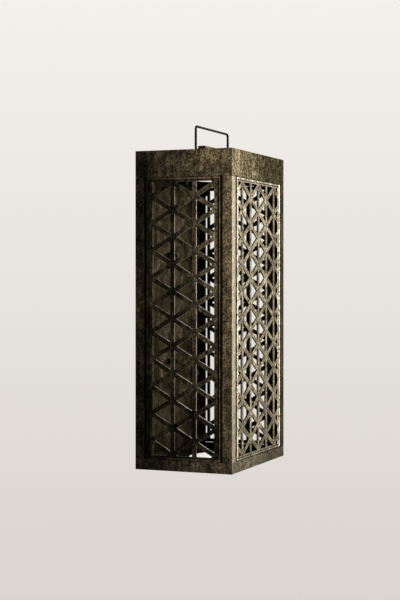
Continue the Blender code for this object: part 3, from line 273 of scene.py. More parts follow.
def bronze_finish(
    name, tones, bare=BRONZE_BARE, highlight_span=(0.0, 1.0), edge_reach=0, edges_everywhere=False, face=None, walls=None, fade=None,
    top_highlight=None, speckle=0.35, sides_past=None, sheen=BRONZE_SHEEN,
):
    """Browned bronze: clouds of three tones, a fourth as a painted highlight, speckles, streaks, light edges.

    Nearness to the painted highlight round the front left corner runs from 0 to 1: at highlight_span's values
    the fourth tone starts and is full. Edges take the bare tone within the length edge_reach, near that
    corner
    or, if edges_everywhere, everywhere: painted edge highlight as well as wear. If face names an axis, they
    do so only on the faces across it. The walls beside these faces may then have two tones of their own, away
    from the corner and near it, a highlight painted on them: fade says where the second one starts and is
    full, top_highlight is a third one, painted as light from above where the walls look upwards, and speckle
    is the share of speckles on them. Further than sides_past from the lamp's middle, to both sides, the faces
    across the axis take the bare tone all over, as painted highlight as well as wear. The gloss has the tint
    sheen.
    """
    finish, shader = new_finish(name, 1.0)
    shader.inputs["Specular Tint"].default_value = sheen
    deep, brown, light, highlight_tone = tones
    clouds = grain(finish, 24, detail=7, rough=0.66)
    colour = graded(finish, clouds, [(0.34, deep), (0.50, brown), (0.66, light)])
    # How strongly the painted highlight of the front left corner shows here.
    highlight_share = painted_corner_highlight(finish)
    broken = graded(finish, grain(finish, 55, shift=(7, 2, 5), detail=6), [(0.34, 0.25), (0.60, 1.0)])
    highlight_tone_share = graded(finish, highlight_share, [(highlight_span[0], 0.0), (highlight_span[1], 1.0)])
    colour = laid_over(finish, multiplied(finish, highlight_tone_share, broken), colour, highlight_tone)
    colour = mottled(finish, colour)
    if walls:
        wall_highlight_share = highlight_share
        if fade:
            uneven = laid_over(finish, 0.4, highlight_share, broken, "OVERLAY")
            wall_highlight_share = graded(finish, uneven, [(fade[0], 0.0), (fade[1], 1.0)])
        cut = laid_over(finish, wall_highlight_share, *walls)
        if top_highlight:
            # Light from above, painted in patches on the walls that look upwards.
            highlight_patches = graded(finish, grain(finish, 34, shift=(2, 9, 4)), [(0.42, 0.15), (0.58, 1.0)])
            cut = laid_over(finish, multiplied(finish, painted_top_light(finish), highlight_patches), cut, top_highlight)
        cut = laid_over(finish, speckle, cut, mottled(finish, cut))
        colour = laid_over(finish, cut_walls(finish, face), colour, cut)
    if edge_reach:
        patchy = graded(finish, grain(finish, 95, shift=(1, 5, 4), detail=4), [(0.36, 0.15), (0.62, 1.0)])
        edges = multiplied(finish, edge_band(finish, edge_reach), patchy)
        if not edges_everywhere:
            edges = multiplied(finish, edges, highlight_share)
        if face:
            edges = multiplied(finish, edges, flat_faces(finish, face))
        colour = laid_over(finish, edges, colour, bare)
    if sides_past:
        sides = multiplied(finish, side_band(finish, sides_past), flat_faces(finish, face))
        colour = laid_over(finish, sides, colour, mottled(finish, bare))
    feed(finish, colour, shader.inputs["Base Color"])
    feed(finish, graded(finish, clouds, [(0.3, 0.48), (0.7, 0.36)]), shader.inputs["Roughness"])
    roughened(finish, shader, grain(finish, 420, detail=3, rough=0.7), 0.06 * MM)
    return finish


# The front faces of the near post, the tray and the cap take lighter tones as a painted highlight.
bronze = bronze_finish("browned_bronze", BRONZE, edge_reach=1.0 * MM)
highlit_post_bronze = bronze_finish("highlit_post_bronze", BRONZE, face="X", walls=POST_FRONT_HIGHLIGHT)
tray_bronze = bronze_finish("tray_bronze", TRAY, face="X", walls=TRAY_FRONT_HIGHLIGHT, speckle=0.7)
cap_bronze = bronze_finish(
    "cap_bronze", CAP, face="X", walls=CAP_FRONT_HIGHLIGHT, fade=CAP_HIGHLIGHT_FADE, speckle=0.9, sheen=CAP_SHEEN
)
in_finish(bronze, *SHELL)
in_finish(highlit_post_bronze, "post_front_left")
in_finish(tray_bronze, "base_tray")
in_finish(cap_bronze, "top_cap")
ease_edges(*SHELL, width=0.35 * MM)

# Tie rods: four 4 mm bronze rods, browned as the shell is and threaded at both ends.
# Each screws into a boss of the cap and comes out under the floor, where a nut pulls the shell together.
CORNERS = ("front_left", "front_right", "back_right", "back_left")
ROD_PITCH = 0.7 * MM
ROD_THREAD = 14 * MM
ROD_GROOVE = 0.3 * MM
ROD_ROOT_ENDS = 0.3
ROD_CREST_STARTS = 0.8
ROD_SIDES = 16
TIE_NUT_BORE = 4.2 * MM
NUT_LAND = 0.93
NUT_CHAMFER = math.tan(math.radians(30))
NUT_SIDES = 48
THREAD_LEAD_IN = 0.35 * MM
SHARP_EDGE = math.radians(32)
UP = Vector((0, 0, 1))


def at_angle(size, angle):
    """A size that is the same all round, or that follows the angle."""
    return size(angle) if callable(size) else size


def turned(profile, sides, ring=False):
    """A form turned about Z through (radius, height) points. A ring's last point joins its first."""
    form = bmesh.new()
    loops = []
    for radius, height in profile:
        count = 1 if radius == 0 else sides
        loop = []
        for step in range(count):
            angle = math.tau * step / sides
            out = at_angle(radius, angle)
            level = at_angle(height, angle)
            loop.append(form.verts.new((out * math.cos(angle), out * math.sin(angle), level)))
        loops.append(loop)
    pairs = list(zip(loops, loops[1:]))
    if ring:
        pairs.append((loops[-1], loops[0]))
    for low, high in pairs:
        for step in range(sides):
            after = (step + 1) % sides
            corners = [low[step % len(low)], low[after % len(low)]]
            corners += [high[after % len(high)], high[step % len(high)]]
            corners = list(dict.fromkeys(corners))
            if len(corners) > 2:
                form.faces.new(corners)
    bmesh.ops.recalc_face_normals(form, faces=form.faces)
    return form


def dressed_piece(name, data, finish, body):
    """A piece of the lamp from its mesh or its centre line, in a finish, on one of the lamp's bodies."""
    data.materials.append(finish)
    piece = bpy.data.objects.new(name, data)
    bpy.context.scene.collection.objects.link(piece)
    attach(piece, body)
    return piece


def piece_from(name, form, finish, body, place, along=UP):
    """A piece whose form stands at a place, with its own Z along a direction."""
    stand = Matrix.Translation(place) @ along.to_track_quat("Z", "Y").to_matrix().to_4x4()
    form.transform(stand)
    mesh = bpy.data.meshes.new(name)
    form.to_mesh(mesh)
    form.free()
    mesh.shade_smooth()
    mesh.set_sharp_from_angle(angle=SHARP_EDGE)
    return dressed_piece(name, mesh, finish, body)


def hexagon(across):
    """The radius of a hexagon of this width across its flats, at an angle."""
    sector = math.radians(60)
    return lambda angle: across / 2 / math.cos(angle % sector - sector / 2)


def hexagon_nut(across, height, bore):
    """A nut with both faces chamfered and a lead-in at each end of its thread."""
    flats = hexagon(across)
    land = NUT_LAND * across / 2
    profile = [
        (bore / 2 + THREAD_LEAD_IN, 0),
        (land, 0),
        (flats, lambda angle: (flats(angle) - land) * NUT_CHAMFER),
        (flats, lambda angle: height - (flats(angle) - land) * NUT_CHAMFER),
        (land, height),
        (bore / 2 + THREAD_LEAD_IN, height),
        (bore / 2, height - THREAD_LEAD_IN),
        (bore / 2, THREAD_LEAD_IN),
    ]
    return turned(profile, NUT_SIDES, ring=True)


def threaded_rod(length, diameter):
    """A rod that stands on the origin, with thread rings near both ends and a chamfer on each."""
    crest = diameter / 2
    root = crest - ROD_GROOVE
    turns = round(ROD_THREAD / ROD_PITCH)
    lower = [(0, 0), (root, 0)]
    for turn in range(turns):
        lower.append((root, (turn + ROD_ROOT_ENDS) * ROD_PITCH))
        lower.append((crest, (turn + ROD_CREST_STARTS) * ROD_PITCH))
    upper = [(radius, length - height) for radius, height in reversed(lower)]
    return turned(lower + upper, ROD_SIDES)


for corner in CORNERS:
    rod_low, rod_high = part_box(f"tie_rod_{corner}")
    foot = Vector(((rod_low.x + rod_high.x) / 2, (rod_low.y + rod_high.y) / 2, rod_low.z))
    rod = threaded_rod(rod_high.z - rod_low.z, rod_high.x - rod_low.x)
    piece = piece_from(f"tie_rod_{corner}_threaded", rod, bronze, "lamp_body", foot)
    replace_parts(piece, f"tie_rod_{corner}")
    nut_low, nut_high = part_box(f"tie_nut_{corner}")
    nut = hexagon_nut(nut_high.y - nut_low.y, nut_high.z - nut_low.z, TIE_NUT_BORE)
    nut_foot = Vector((foot.x, foot.y, nut_low.z))
    piece = piece_from(f"tie_nut_{corner}_chamfered", nut, zinc, "lamp_body", nut_foot)
    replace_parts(piece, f"tie_nut_{corner}")

# Back panel: one sheet of browned bronze that closes the lamp towards the wall.
# Four pan-head socket screws hold it to the flanges of the floor and of the ceiling plate, and two cap nuts
# clamp it to the studs of the wall bracket. The nuts are as evenly brown as it is. The right back post takes
# its lighter tones too, as painted light on its inner faces.
PANEL = ((0.012, 0.010, 0.0062), (0.034, 0.028, 0.0172), (0.066, 0.054, 0.0335), (0.066, 0.054, 0.0335))
AWAY_FROM_WALL = Vector((0, -1, 0))
SCREW_THREAD = 2.5 * MM
SCREW_HEAD = 1.5 * MM
SCREW_SIDES = 24
SCREW_TIP = 0.38
SCREW_LEAD_IN = 0.15
SOCKET_ACROSS = 2.5 * MM
SOCKET_DEPTH = 0.8 * MM
CROWN_RISE = 0.45
CROWN_REACH = 0.28
CROWN_STEPS = 4
CAP_NUT_BORE = 5.2 * MM
CAP_NUT_WALL = 1.2 * MM
CAP_NUT_ROOM = 0.3 * MM
CAP_NUT_STEPS = 8


def socket_screw(diameter, head, head_height, length):
    """A pan-head screw: its head's underside lies at the origin and its shank runs to -Z."""
    crown = []
    for step in range(CROWN_STEPS + 1):
        angle = math.radians(90) * step / CROWN_STEPS
        drop = CROWN_RISE * head_height * (1 - math.sin(angle))
        crown.append((head / 2 - CROWN_REACH * head / 2 * (1 - math.cos(angle)), head_height - drop))
    socket = hexagon(SOCKET_ACROSS)
    profile = [
        (0, -length),
        (SCREW_TIP * diameter, -length),
        (diameter / 2, -length + SCREW_LEAD_IN * diameter),
        (diameter / 2, 0),
        (head / 2, 0),
        *crown,
        (socket, head_height),
        (socket, head_height - SOCKET_DEPTH),
        (0, head_height - SOCKET_DEPTH),
    ]
    return turned(profile, SCREW_SIDES)


def cap_nut(across, height, bore, stud):
    """A hexagon nut with a dome that closes over the end of a stud of this length."""
    flats = hexagon(across)
    land = NUT_LAND * across / 2
    foot = [(bore / 2, THREAD_LEAD_IN), (bore / 2 + THREAD_LEAD_IN, 0), (land, 0)]
    skirt = [
        (flats, lambda angle: (flats(angle) - land) * NUT_CHAMFER),
        (flats, lambda angle: height - (flats(angle) - land) * NUT_CHAMFER),
    ]
    rise = stud + CAP_NUT_WALL - height
    crown = []
    for step in range(CAP_NUT_STEPS + 1):
        angle = math.radians(90) * step / CAP_NUT_STEPS
        out = 0 if step == CAP_NUT_STEPS else land * math.cos(angle)
        crown.append((out, height + rise * math.sin(angle)))
    inside = [(0, stud + CAP_NUT_ROOM), (bore / 2, stud + CAP_NUT_ROOM)]
    return turned(inside + foot + skirt + crown, NUT_SIDES)


def set_screw(node, outward, diameter, head_height):
    """Puts a detailed screw where the frame has its plain one, with the head on the outward side."""
    low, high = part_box(node)
    size = high - low
    length = abs(size.dot(outward))
    head = max(value for value, axis in zip(size, outward) if axis == 0)
    middle = (low + high) / 2
    seat = middle + outward * (length / 2 - head_height)
    form = socket_screw(diameter, head, head_height, length - head_height)
    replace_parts(piece_from(f"{node}_socket", form, zinc, "lamp_body", seat, outward), node)


panel_bronze = bronze_finish("panel_bronze", PANEL, edge_reach=0.6 * MM)
# The right back post takes the panel's lighter tones as painted light on its inner faces.
in_finish(panel_bronze, "back_panel", "post_back_right")
ease_edges("back_panel", width=0.3 * MM)
stud_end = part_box("wall_bracket")[0].y
for level in ("lower", "upper"):
    node = f"bracket_nut_{level}"
    low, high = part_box(node)
    seat = Vector(((low.x + high.x) / 2, high.y, (low.z + high.z) / 2))
    nut = cap_nut(high.z - low.z, high.y - low.y, CAP_NUT_BORE, high.y - stud_end)
    piece = piece_from(
        f"{node}_domed", nut, panel_bronze, "lamp_body", seat, AWAY_FROM_WALL
    )
    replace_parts(piece, node)
for place in ("lower_left", "lower_right", "upper_left", "upper_right"):
    set_screw(f"back_screw_{place}", AWAY_FROM_WALL, SCREW_THREAD, SCREW_HEAD)

# Side panels: a flat bar frame with a lattice of triangles set half a millimetre back in it.
# The lattice is cut from 2 mm bronze plate and soldered to tabs behind the frame.
# Each panel hangs on four ears, screwed to the flanges from inside.
LATTICE = ((0.0045, 0.0038, 0.0028), (0.013, 0.0108, 0.0075), (0.028, 0.023, 0.015), (0.110, 0.089, 0.054))
# Cut walls of the lattice: a bare tone, and near the front left corner a much lighter one that is painted
# highlight.
LATTICE_WALLS = ((0.13, 0.112, 0.078), (0.85, 0.75, 0.57))
# A light tone painted where the lattice's cut walls look upwards, as light from above.
LATTICE_TOP_HIGHLIGHT = (0.78, 0.72, 0.60)
LATTICE_HIGHLIGHT_SPAN = (0.42, 1.0)
lattice_bronze = bronze_finish(
    "lattice_bronze", LATTICE, highlight_span=LATTICE_HIGHLIGHT_SPAN, edge_reach=0.3 * MM,
    face="X", walls=LATTICE_WALLS, top_highlight=LATTICE_TOP_HIGHLIGHT,
)
in_finish(bronze, "left_frame", "right_frame")
in_finish(lattice_bronze, "left_lattice", "right_lattice")
ease_edges("left_frame", "right_frame", "left_lattice", "right_lattice", width=0.2 * MM)
for side, inward in (("left", Vector((1, 0, 0))), ("right", Vector((-1, 0, 0)))):
    for place in ("lower_back", "lower_front", "upper_back", "upper_front"):
        set_screw(f"panel_screw_{side}_{place}", inward, SCREW_THREAD, SCREW_HEAD)

# Door: the front panel, made as the side panels are, but painted lighter as a highlight where its front faces
# the light, and lightest at its stiles and edges, as painted highlight as well as wear.
# It hangs on two steel pins in its right stile, and a steel strike behind its left stile meets a small
# magnet on a lug of the ceiling plate.
# Lighter tones than the side panels' for the door: a painted highlight; its walls stay dark.
DOOR_LATTICE = ((0.052, 0.044, 0.029), (0.097, 0.083, 0.055), (0.154, 0.132, 0.089), (0.176, 0.151, 0.102))
DOOR_FRAME = ((0.150, 0.132, 0.097), (0.215, 0.191, 0.143), (0.285, 0.255, 0.193), (0.270, 0.241, 0.182))
DOOR_BARE = (0.40, 0.355, 0.268)
STILE_BARE_AND_HIGHLIGHT = (0.56, 0.50, 0.385)
DOOR_WALLS = ((0.011, 0.0095, 0.007), (0.013, 0.011, 0.008))
door_lattice_bronze = bronze_finish(
    "door_lattice_bronze", DOOR_LATTICE, DOOR_BARE, edge_reach=2.4 * MM, edges_everywhere=True,
    face="Y", walls=DOOR_WALLS, sides_past=74.2 * MM,
)
door_frame_bronze = bronze_finish(
    "door_frame_bronze", DOOR_FRAME, STILE_BARE_AND_HIGHLIGHT, edge_reach=0.3 * MM, edges_everywhere=True,
    face="Y", walls=DOOR_WALLS, sides_past=77 * MM,
)
in_finish(door_frame_bronze, "door_frame")
in_finish(door_lattice_bronze, "door_lattice")
ease_edges("door_frame", "door_lattice", width=0.2 * MM)
in_finish(zinc, "door_pin_lower", "door_pin_upper", "door_strike", "door_magnet")
ease_edges("door_strike", "door_magnet", width=0.15 * MM)

# LED pucks: one in the ceiling and one in the floor, each a cast dish with a board and a domed opal diffuser.
# The dish drops into the plate, and the diffuser clips into the dish, with its rim over the dish's flange.
# The board carries two rings of LED chips under the dome, which is flatter in the ceiling.
PUCK_AXIS = Vector((0, -65 * MM, 0))
FLOOR_FACE = -194.5 * MM
CEILING_FACE = 173.5 * MM
PUCK_RIM = 30 * MM
PUCK_LID = 1.4 * MM
DIFFUSER_WALL = 1.0 * MM
DIFFUSER_DOME = 4.2 * MM
ROUND_DOME = 2
FLAT_DOME = 6
SPIGOT_OUTSIDE = 24.5 * MM
SPIGOT_INSIDE = 22.9 * MM
SPIGOT_DEPTH = 2.0 * MM
RIM_EDGE = 0.35 * MM
DISH_RADIUS = 26 * MM
DISH_FLANGE_EDGE = 29.2 * MM
DISH_FLANGE_UNDER = 0.3 * MM
DISH_FLANGE_TOP = 1.1 * MM
DISH_BACK = -4.4 * MM
DISH_FLOOR = -3.2 * MM
DISH_INSIDE = 24.8 * MM
GROOVES = (9 * MM, 17 * MM)
GROOVE_DEPTH = 0.6 * MM
GROOVE_WIDTH = 1.5 * MM
BOARD_TOP = -1.7 * MM
CHIP_RINGS = ((6, 8 * MM), (12, 17 * MM))
CHIP = Vector((2.8, 2.8, 0.7)) * MM
CHIP_EDGE = 0.15 * MM
PUCK_SIDES = 96
DOME_STEPS = 12
OPAL_MILK = (0.80, 0.79, 0.76)
OPAL_CLEAR = (0.88, 0.87, 0.85)
OPAL_GLOW = (1.0, 0.965, 0.90, 1)
OPAL_GLOW_STRENGTH = 0.7
CAST_DULL = (0.34, 0.335, 0.325)
CAST_BRIGHT = (0.52, 0.515, 0.50)
PLASTIC_DULL = (0.66, 0.65, 0.62)
PLASTIC_PALE = (0.76, 0.75, 0.72)
PHOSPHOR_DEEP = (0.62, 0.47, 0.12)
PHOSPHOR_PALE = (0.72, 0.60, 0.24)


def opal_finish():
    """Opal acrylic: milky, satin, a little clouded, and lit from behind."""
    finish, shader = new_finish("opal_acrylic", 0.0)
    clouds = grain(finish, 60, detail=3)
    feed(finish, graded(finish, clouds, [(0.3, OPAL_MILK), (0.7, OPAL_CLEAR)]), shader.inputs["Base Color"])
    feed(finish, graded(finish, clouds, [(0.3, 0.32), (0.7, 0.42)]), shader.inputs["Roughness"])
    shader.inputs["Emission Color"].default_value = OPAL_GLOW
    shader.inputs["Emission Strength"].default_value = OPAL_GLOW_STRENGTH
    roughened(finish, shader, grain(finish, 900, detail=2), 0.02 * MM)
    return finish


def cast_finish():
    """Cast aluminium: grey and grainy, with the fine skin of the mould."""
    finish, shader = new_finish("cast_aluminium", 1.0)
    skin = grain(finish, 700, detail=4)
    tone = laid_over(finish, 0.5, grain(finish, 45, detail=5), skin)
    feed(finish, graded(finish, tone, [(0.36, CAST_DULL), (0.62, CAST_BRIGHT)]), shader.inputs["Base Color"])
    feed(finish, graded(finish, tone, [(0.3, 0.62), (0.7, 0.46)]), shader.inputs["Roughness"])
    roughened(finish, shader, skin, 0.08 * MM)
    return finish


def moulded_finish(name, dark, pale, rough):
    """Moulded plastic or rubber: a faint shade of colour and a fine spark-eroded skin."""
    finish, shader = new_finish(name, 0.0)
    clouds = grain(finish, 90, detail=3)
    feed(finish, graded(finish, clouds, [(0.35, dark), (0.65, pale)]), shader.inputs["Base Color"])
    feed(finish, graded(finish, clouds, [(0.3, rough), (0.7, rough + 0.12)]), shader.inputs["Roughness"])
    roughened(finish, shader, grain(finish, 1500, detail=2), 0.03 * MM)
    return finish


def dome(radius, foot, fullness):
    """A shallow dome's (radius, height) points, from its crown out to its foot. Fullness keeps it flat."""
    shares = [step / DOME_STEPS for step in range(DOME_STEPS + 1)]
    return [(radius * share, foot + DIFFUSER_DOME * (1 - share**fullness)) for share in shares]


def diffuser_form(fullness):
    """A domed cap with an eased rim, and the spigot under it that clips into the dish."""
    shoulder = PUCK_LID + DIFFUSER_WALL
    crown = dome(PUCK_RIM - RIM_EDGE, shoulder, fullness)
    profile = [
        *dome(SPIGOT_INSIDE, PUCK_LID, fullness),
        (SPIGOT_INSIDE, PUCK_LID - SPIGOT_DEPTH),
        (SPIGOT_OUTSIDE, PUCK_LID - SPIGOT_DEPTH),
        (SPIGOT_OUTSIDE, PUCK_LID),
        (PUCK_RIM - RIM_EDGE, PUCK_LID),
        (PUCK_RIM, PUCK_LID + RIM_EDGE),
        (PUCK_RIM, shoulder - RIM_EDGE),
        *reversed(crown),
    ]
    return turned(profile, PUCK_SIDES)


def dish_form():
    """The cast dish: a flange, a flat floor, and two cooling grooves turned into its back."""
    back = [(0, DISH_BACK)]
    for radius in GROOVES:
        back += [(radius, DISH_BACK), (radius + GROOVE_DEPTH, DISH_BACK + GROOVE_DEPTH)]
        radius += GROOVE_WIDTH
        back += [(radius, DISH_BACK + GROOVE_DEPTH), (radius + GROOVE_DEPTH, DISH_BACK)]
    profile = [
        *back,
        (DISH_RADIUS - RIM_EDGE, DISH_BACK),
        (DISH_RADIUS, DISH_BACK + RIM_EDGE),
        (DISH_RADIUS, DISH_FLANGE_UNDER),
        (DISH_FLANGE_EDGE, DISH_FLANGE_UNDER),
        (DISH_FLANGE_EDGE, DISH_FLANGE_TOP),
        (DISH_INSIDE, DISH_FLANGE_TOP),
        (DISH_INSIDE, DISH_FLOOR),
        (0, DISH_FLOOR),
    ]
    return turned(profile, PUCK_SIDES)


def chips_form():
    """Two rings of square LED chips on the board, each with a sloped edge."""
    form = bmesh.new()
    for count, radius in CHIP_RINGS:
        for number in range(count):
            angle = math.tau * number / count
            turn = Matrix.Rotation(angle, 4, "Z")
            place = Matrix.Translation((radius, 0, BOARD_TOP + CHIP.z / 2))
            made = bmesh.ops.create_cube(form, size=1, matrix=turn @ place @ Matrix.Diagonal((*CHIP, 1)))
            edges = {edge for vert in made["verts"] for edge in vert.link_edges}
            bmesh.ops.bevel(form, geom=list(edges), offset=CHIP_EDGE, segments=1, affect="EDGES")
    return form


opal = opal_finish()
cast = cast_finish()
white_plastic = moulded_finish("white_plastic", PLASTIC_DULL, PLASTIC_PALE, 0.4)
phosphor = moulded_finish("phosphor", PHOSPHOR_DEEP, PHOSPHOR_PALE, 0.5)
in_finish(white_plastic, "lower_led_board", "upper_led_board")
for level, plate_face, way, fullness in (
    ("lower", FLOOR_FACE, UP, ROUND_DOME), ("upper", CEILING_FACE, -UP, FLAT_DOME),
):
    place = PUCK_AXIS + UP * plate_face
    cover = diffuser_form(fullness)
    cover = piece_from(f"{level}_led_dome", cover, opal, "lamp_body", place, way)
    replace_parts(cover, f"{level}_led_diffuser")
    dish = piece_from(f"{level}_led_casting", dish_form(), cast, "lamp_body", place, way)
    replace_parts(dish, f"{level}_led_dish")
    piece_from(f"{level}_led_chips", chips_form(), phosphor, "lamp_body", place, way)

# Wiring: a potted LED driver and a terminal block on the ceiling plate, a rubber bush in the cap's rear
# wall, and a sleeved lead that runs down a back corner through two brown clips to the lower puck.
# All of it lies inside the cap, but for the lead and its clips.
BUSH_MIDDLE = Vector((-58 * MM, 0, 186.5 * MM))
BUSH_BORE = 3.5 * MM
BUSH_BARREL = 5.25 * MM
BUSH_FLANGE = 7.0 * MM
BUSH_FACE = 0.3 * MM
BUSH_WALL = 2.3 * MM
BUSH_BACK = 4.3 * MM
BUSH_EDGE = 0.5 * MM
BUSH_SIDES = 48
LEAD_RADIUS = 1.2 * MM
LEAD_CORNER = (80 * MM, -9.5 * MM)
LEAD_BEND = 10 * MM
LEAD_BEND_STEPS = 12
LEAD_SOCKET = Vector((80 * MM, -22.7 * MM, 184.05 * MM))
LEAD_FLOOR = -193.0 * MM
LEAD_GAP = 0.3 * MM
WIRE_ROUNDNESS = 6
RUBBER_DARK = (0.012, 0.012, 0.012)
RUBBER_PALE = (0.028, 0.027, 0.026)
SLEEVE_DARK = (0.045, 0.030, 0.018)
SLEEVE_PALE = (0.075, 0.052, 0.032)


def bush_form():
    """A bush with rounded lips: its barrel fills the wall's hole and its flange lies behind the wall."""
    profile = [
        (BUSH_BORE, BUSH_FACE + BUSH_EDGE),
        (BUSH_BORE + BUSH_EDGE, BUSH_FACE),
        (BUSH_BARREL, BUSH_FACE),
        (BUSH_BARREL, BUSH_WALL),
        (BUSH_FLANGE - BUSH_EDGE, BUSH_WALL),
        (BUSH_FLANGE, BUSH_WALL + BUSH_EDGE),
        (BUSH_FLANGE, BUSH_BACK - BUSH_EDGE),
        (BUSH_FLANGE - BUSH_EDGE, BUSH_BACK),
        (BUSH_BORE + BUSH_EDGE, BUSH_BACK),
        (BUSH_BORE, BUSH_BACK - BUSH_EDGE),
    ]
    return turned(profile, BUSH_SIDES, ring=True)


def round_wire(name, points, radius, finish, body):
    """A round wire or lead along its centre line, with flat ends."""
    line = bpy.data.curves.new(name, "CURVE")
    line.dimensions = "3D"
    line.bevel_depth = radius
    line.bevel_resolution = WIRE_ROUNDNESS
    line.use_fill_caps = True
    path = line.splines.new("POLY")
    path.points.add(len(points) - 1)
    for spot, point in zip(path.points, points):
        spot.co = (*point, 1)
    return dressed_piece(name, line, finish, body)


def lead_route():
    """From the driver's socket, down the corner, and over the floor to the edge of the lower puck."""
    corner = Vector((*LEAD_CORNER, 0))
    to_puck = (PUCK_AXIS - corner).normalized()
    points = [LEAD_SOCKET]
    for step in range(LEAD_BEND_STEPS + 1):
        angle = math.radians(90) * (1 - step / LEAD_BEND_STEPS)
        back = LEAD_BEND * (math.cos(angle) - 1)
        drop = LEAD_BEND * (math.sin(angle) - 1)
        points.append(corner + Vector((0, back, LEAD_SOCKET.z + drop)))
    for step in range(LEAD_BEND_STEPS + 1):
        angle = math.radians(90) * step / LEAD_BEND_STEPS
        ahead = LEAD_BEND * (1 - math.cos(angle))
        height = LEAD_FLOOR + LEAD_BEND * (1 - math.sin(angle))
        points.append(corner + to_puck * ahead + UP * height)
    points.append(PUCK_AXIS + UP * LEAD_FLOOR - to_puck * (PUCK_RIM + LEAD_GAP))
    return points


in_finish(white_plastic, "led_driver", "terminal_block")
ease_edges("terminal_block", "lead_clip_lower", "lead_clip_upper", width=0.4 * MM)
black_rubber = moulded_finish("black_rubber", RUBBER_DARK, RUBBER_PALE, 0.6)
brown_sleeve = moulded_finish("brown_sleeve", SLEEVE_DARK, SLEEVE_PALE, 0.5)
in_finish(brown_sleeve, "lead_clip_lower", "lead_clip_upper")
bush = piece_from(
    "cable_bush_lipped", bush_form(), black_rubber, "lamp_body", BUSH_MIDDLE, AWAY_FROM_WALL
)
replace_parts(bush, "cable_bush")
lead = round_wire(
    "lower_led_lead_sleeved", lead_route(), LEAD_RADIUS, brown_sleeve, "lamp_body"
)
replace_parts(lead, "lower_led_lead")
for place in ("front", "back"):
    set_screw(f"driver_screw_{place}", UP, SCREW_THREAD, SCREW_HEAD)

# Bail and its block: a bar of brushed brass on the cap, held by two screws from inside,
# and a 3 mm bronze wire, browned nearly black, whose feet turn in the bar's ends.
BAIL_PIVOT = Vector((0, -65 * MM, 203 * MM))
BAIL_LEG = 56 * MM
BAIL_GRIP = 30 * MM
BAIL_BEND = 4 * MM
BAIL_FOOT = 24.5 * MM
BAIL_WIRE = 1.5 * MM
BAIL_BEND_STEPS = 14
BLOCK_SCREW_THREAD = 3.0 * MM
BLOCK_SCREW_HEAD = 1.8 * MM
WIRE = ((0.004, 0.0036, 0.003), (0.007, 0.006, 0.005), (0.011, 0.0095, 0.0075), (0.011, 0.0095, 0.0075))
BRASS_DULL = (0.055, 0.045, 0.028)
BRASS_BRIGHT = (0.130, 0.110, 0.073)
# Darker tone for the block's ends, top and underside: painted shade.
BRASS_ENDS_SHADE = (0.022, 0.0175, 0.011)


def brass_finish():
    """Brass brushed along the bar, gone dull between the strokes. Its ends, top and underside are painted
    darker as shade, and its edges lighter, as painted highlight as well as wear.
    """
    finish, shader = new_finish("brushed_brass", 1.0)
    shader.inputs["Specular Tint"].default_value = BRONZE_SHEEN
    strokes = grain(finish, 900, draw=(0.03, 1, 1), detail=4)
    clouds = grain(finish, 70, detail=5)
    tone = laid_over(finish, 0.55, clouds, strokes)
    colour = graded(finish, tone, [(0.36, BRASS_DULL), (0.62, BRASS_BRIGHT)])
    colour = laid_over(finish, cut_walls(finish, "Y"), colour, BRASS_ENDS_SHADE)
    edges = edge_band(finish, 0.3 * MM)
    feed(finish, laid_over(finish, edges, colour, DOOR_BARE), shader.inputs["Base Color"])
    feed(finish, graded(finish, tone, [(0.3, 0.5), (0.7, 0.32)]), shader.inputs["Roughness"])
    roughened(finish, shader, strokes, 0.03 * MM)
    return finish


def bail_route():
    """The wire's centre line: in at one foot, up a leg, over the grip, down the other leg and in again."""
    half = [(BAIL_FOOT, 0)]
    for low, centre in ((-90, BAIL_BEND), (0, BAIL_GRIP - BAIL_BEND)):
        for step in range(BAIL_BEND_STEPS + 1):
            angle = math.radians(low + 90 * step / BAIL_BEND_STEPS)
            across = BAIL_LEG - BAIL_BEND + BAIL_BEND * math.cos(angle)
            half.append((across, centre + BAIL_BEND * math.sin(angle)))
    whole = half + [(-across, height) for across, height in reversed(half)]
    return [BAIL_PIVOT + Vector((across, 0, height)) for across, height in whole]


wire_bronze = bronze_finish("wire_bronze", WIRE)
bail = round_wire("bail_wire", bail_route(), BAIL_WIRE, wire_bronze, "bail")
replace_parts(bail, "handle")
in_finish(brass_finish(), "handle_block")
ease_edges("handle_block", width=0.2 * MM)
for side in ("left", "right"):
    set_screw(f"block_screw_{side}", -UP, BLOCK_SCREW_THREAD, BLOCK_SCREW_HEAD)

# Studio: a plain pale floor far below the lamp, a pale surround, and soft light from large panels.
# The main light stands to the right of the front, so that the front shines and the left side stays deep.
LAMP_MIDDLE = Vector((0, -0.065, 0))
FLOOR_LEVEL = -1.2
FLOOR_RADIUS = 3.6
FLOOR_FULL = 1.0
FLOOR_SIDES = 96
PALE_ABOVE = (0.905, 0.880, 0.835)
PALE_BELOW = (0.708, 0.672, 0.638)
PALE_BLEND = 0.2
SURROUND_LIGHT = (0.42, 0.42, 0.42, 1)


def soft_panel(name, direction, distance, width, power):
    """A square light panel that faces the lamp."""
    light = bpy.data.lights.new(name, "AREA")
    light.shape = "SQUARE"
    light.size = width
    light.energy = power
    panel = bpy.data.objects.new(name, light)
    way = Vector(direction).normalized()
    panel.location = LAMP_MIDDLE + way * distance
    panel.rotation_euler = way.to_track_quat("Z", "Y").to_euler()
    panel.visible_camera = False
    bpy.context.scene.collection.objects.link(panel)


soft_panel("front_light", (0.90, -0.40, 0.15), distance=2.2, width=1.7, power=26)
soft_panel("right_light", (0.92, 0.14, 0.38), distance=2.3, width=1.2, power=14)
soft_panel("left_light", (-0.62, -0.55, 0.55), distance=2.2, width=1.4, power=5)
soft_panel("top_light", (-0.1, -0.25, 1.0), distance=2.2, width=1.6, power=8)


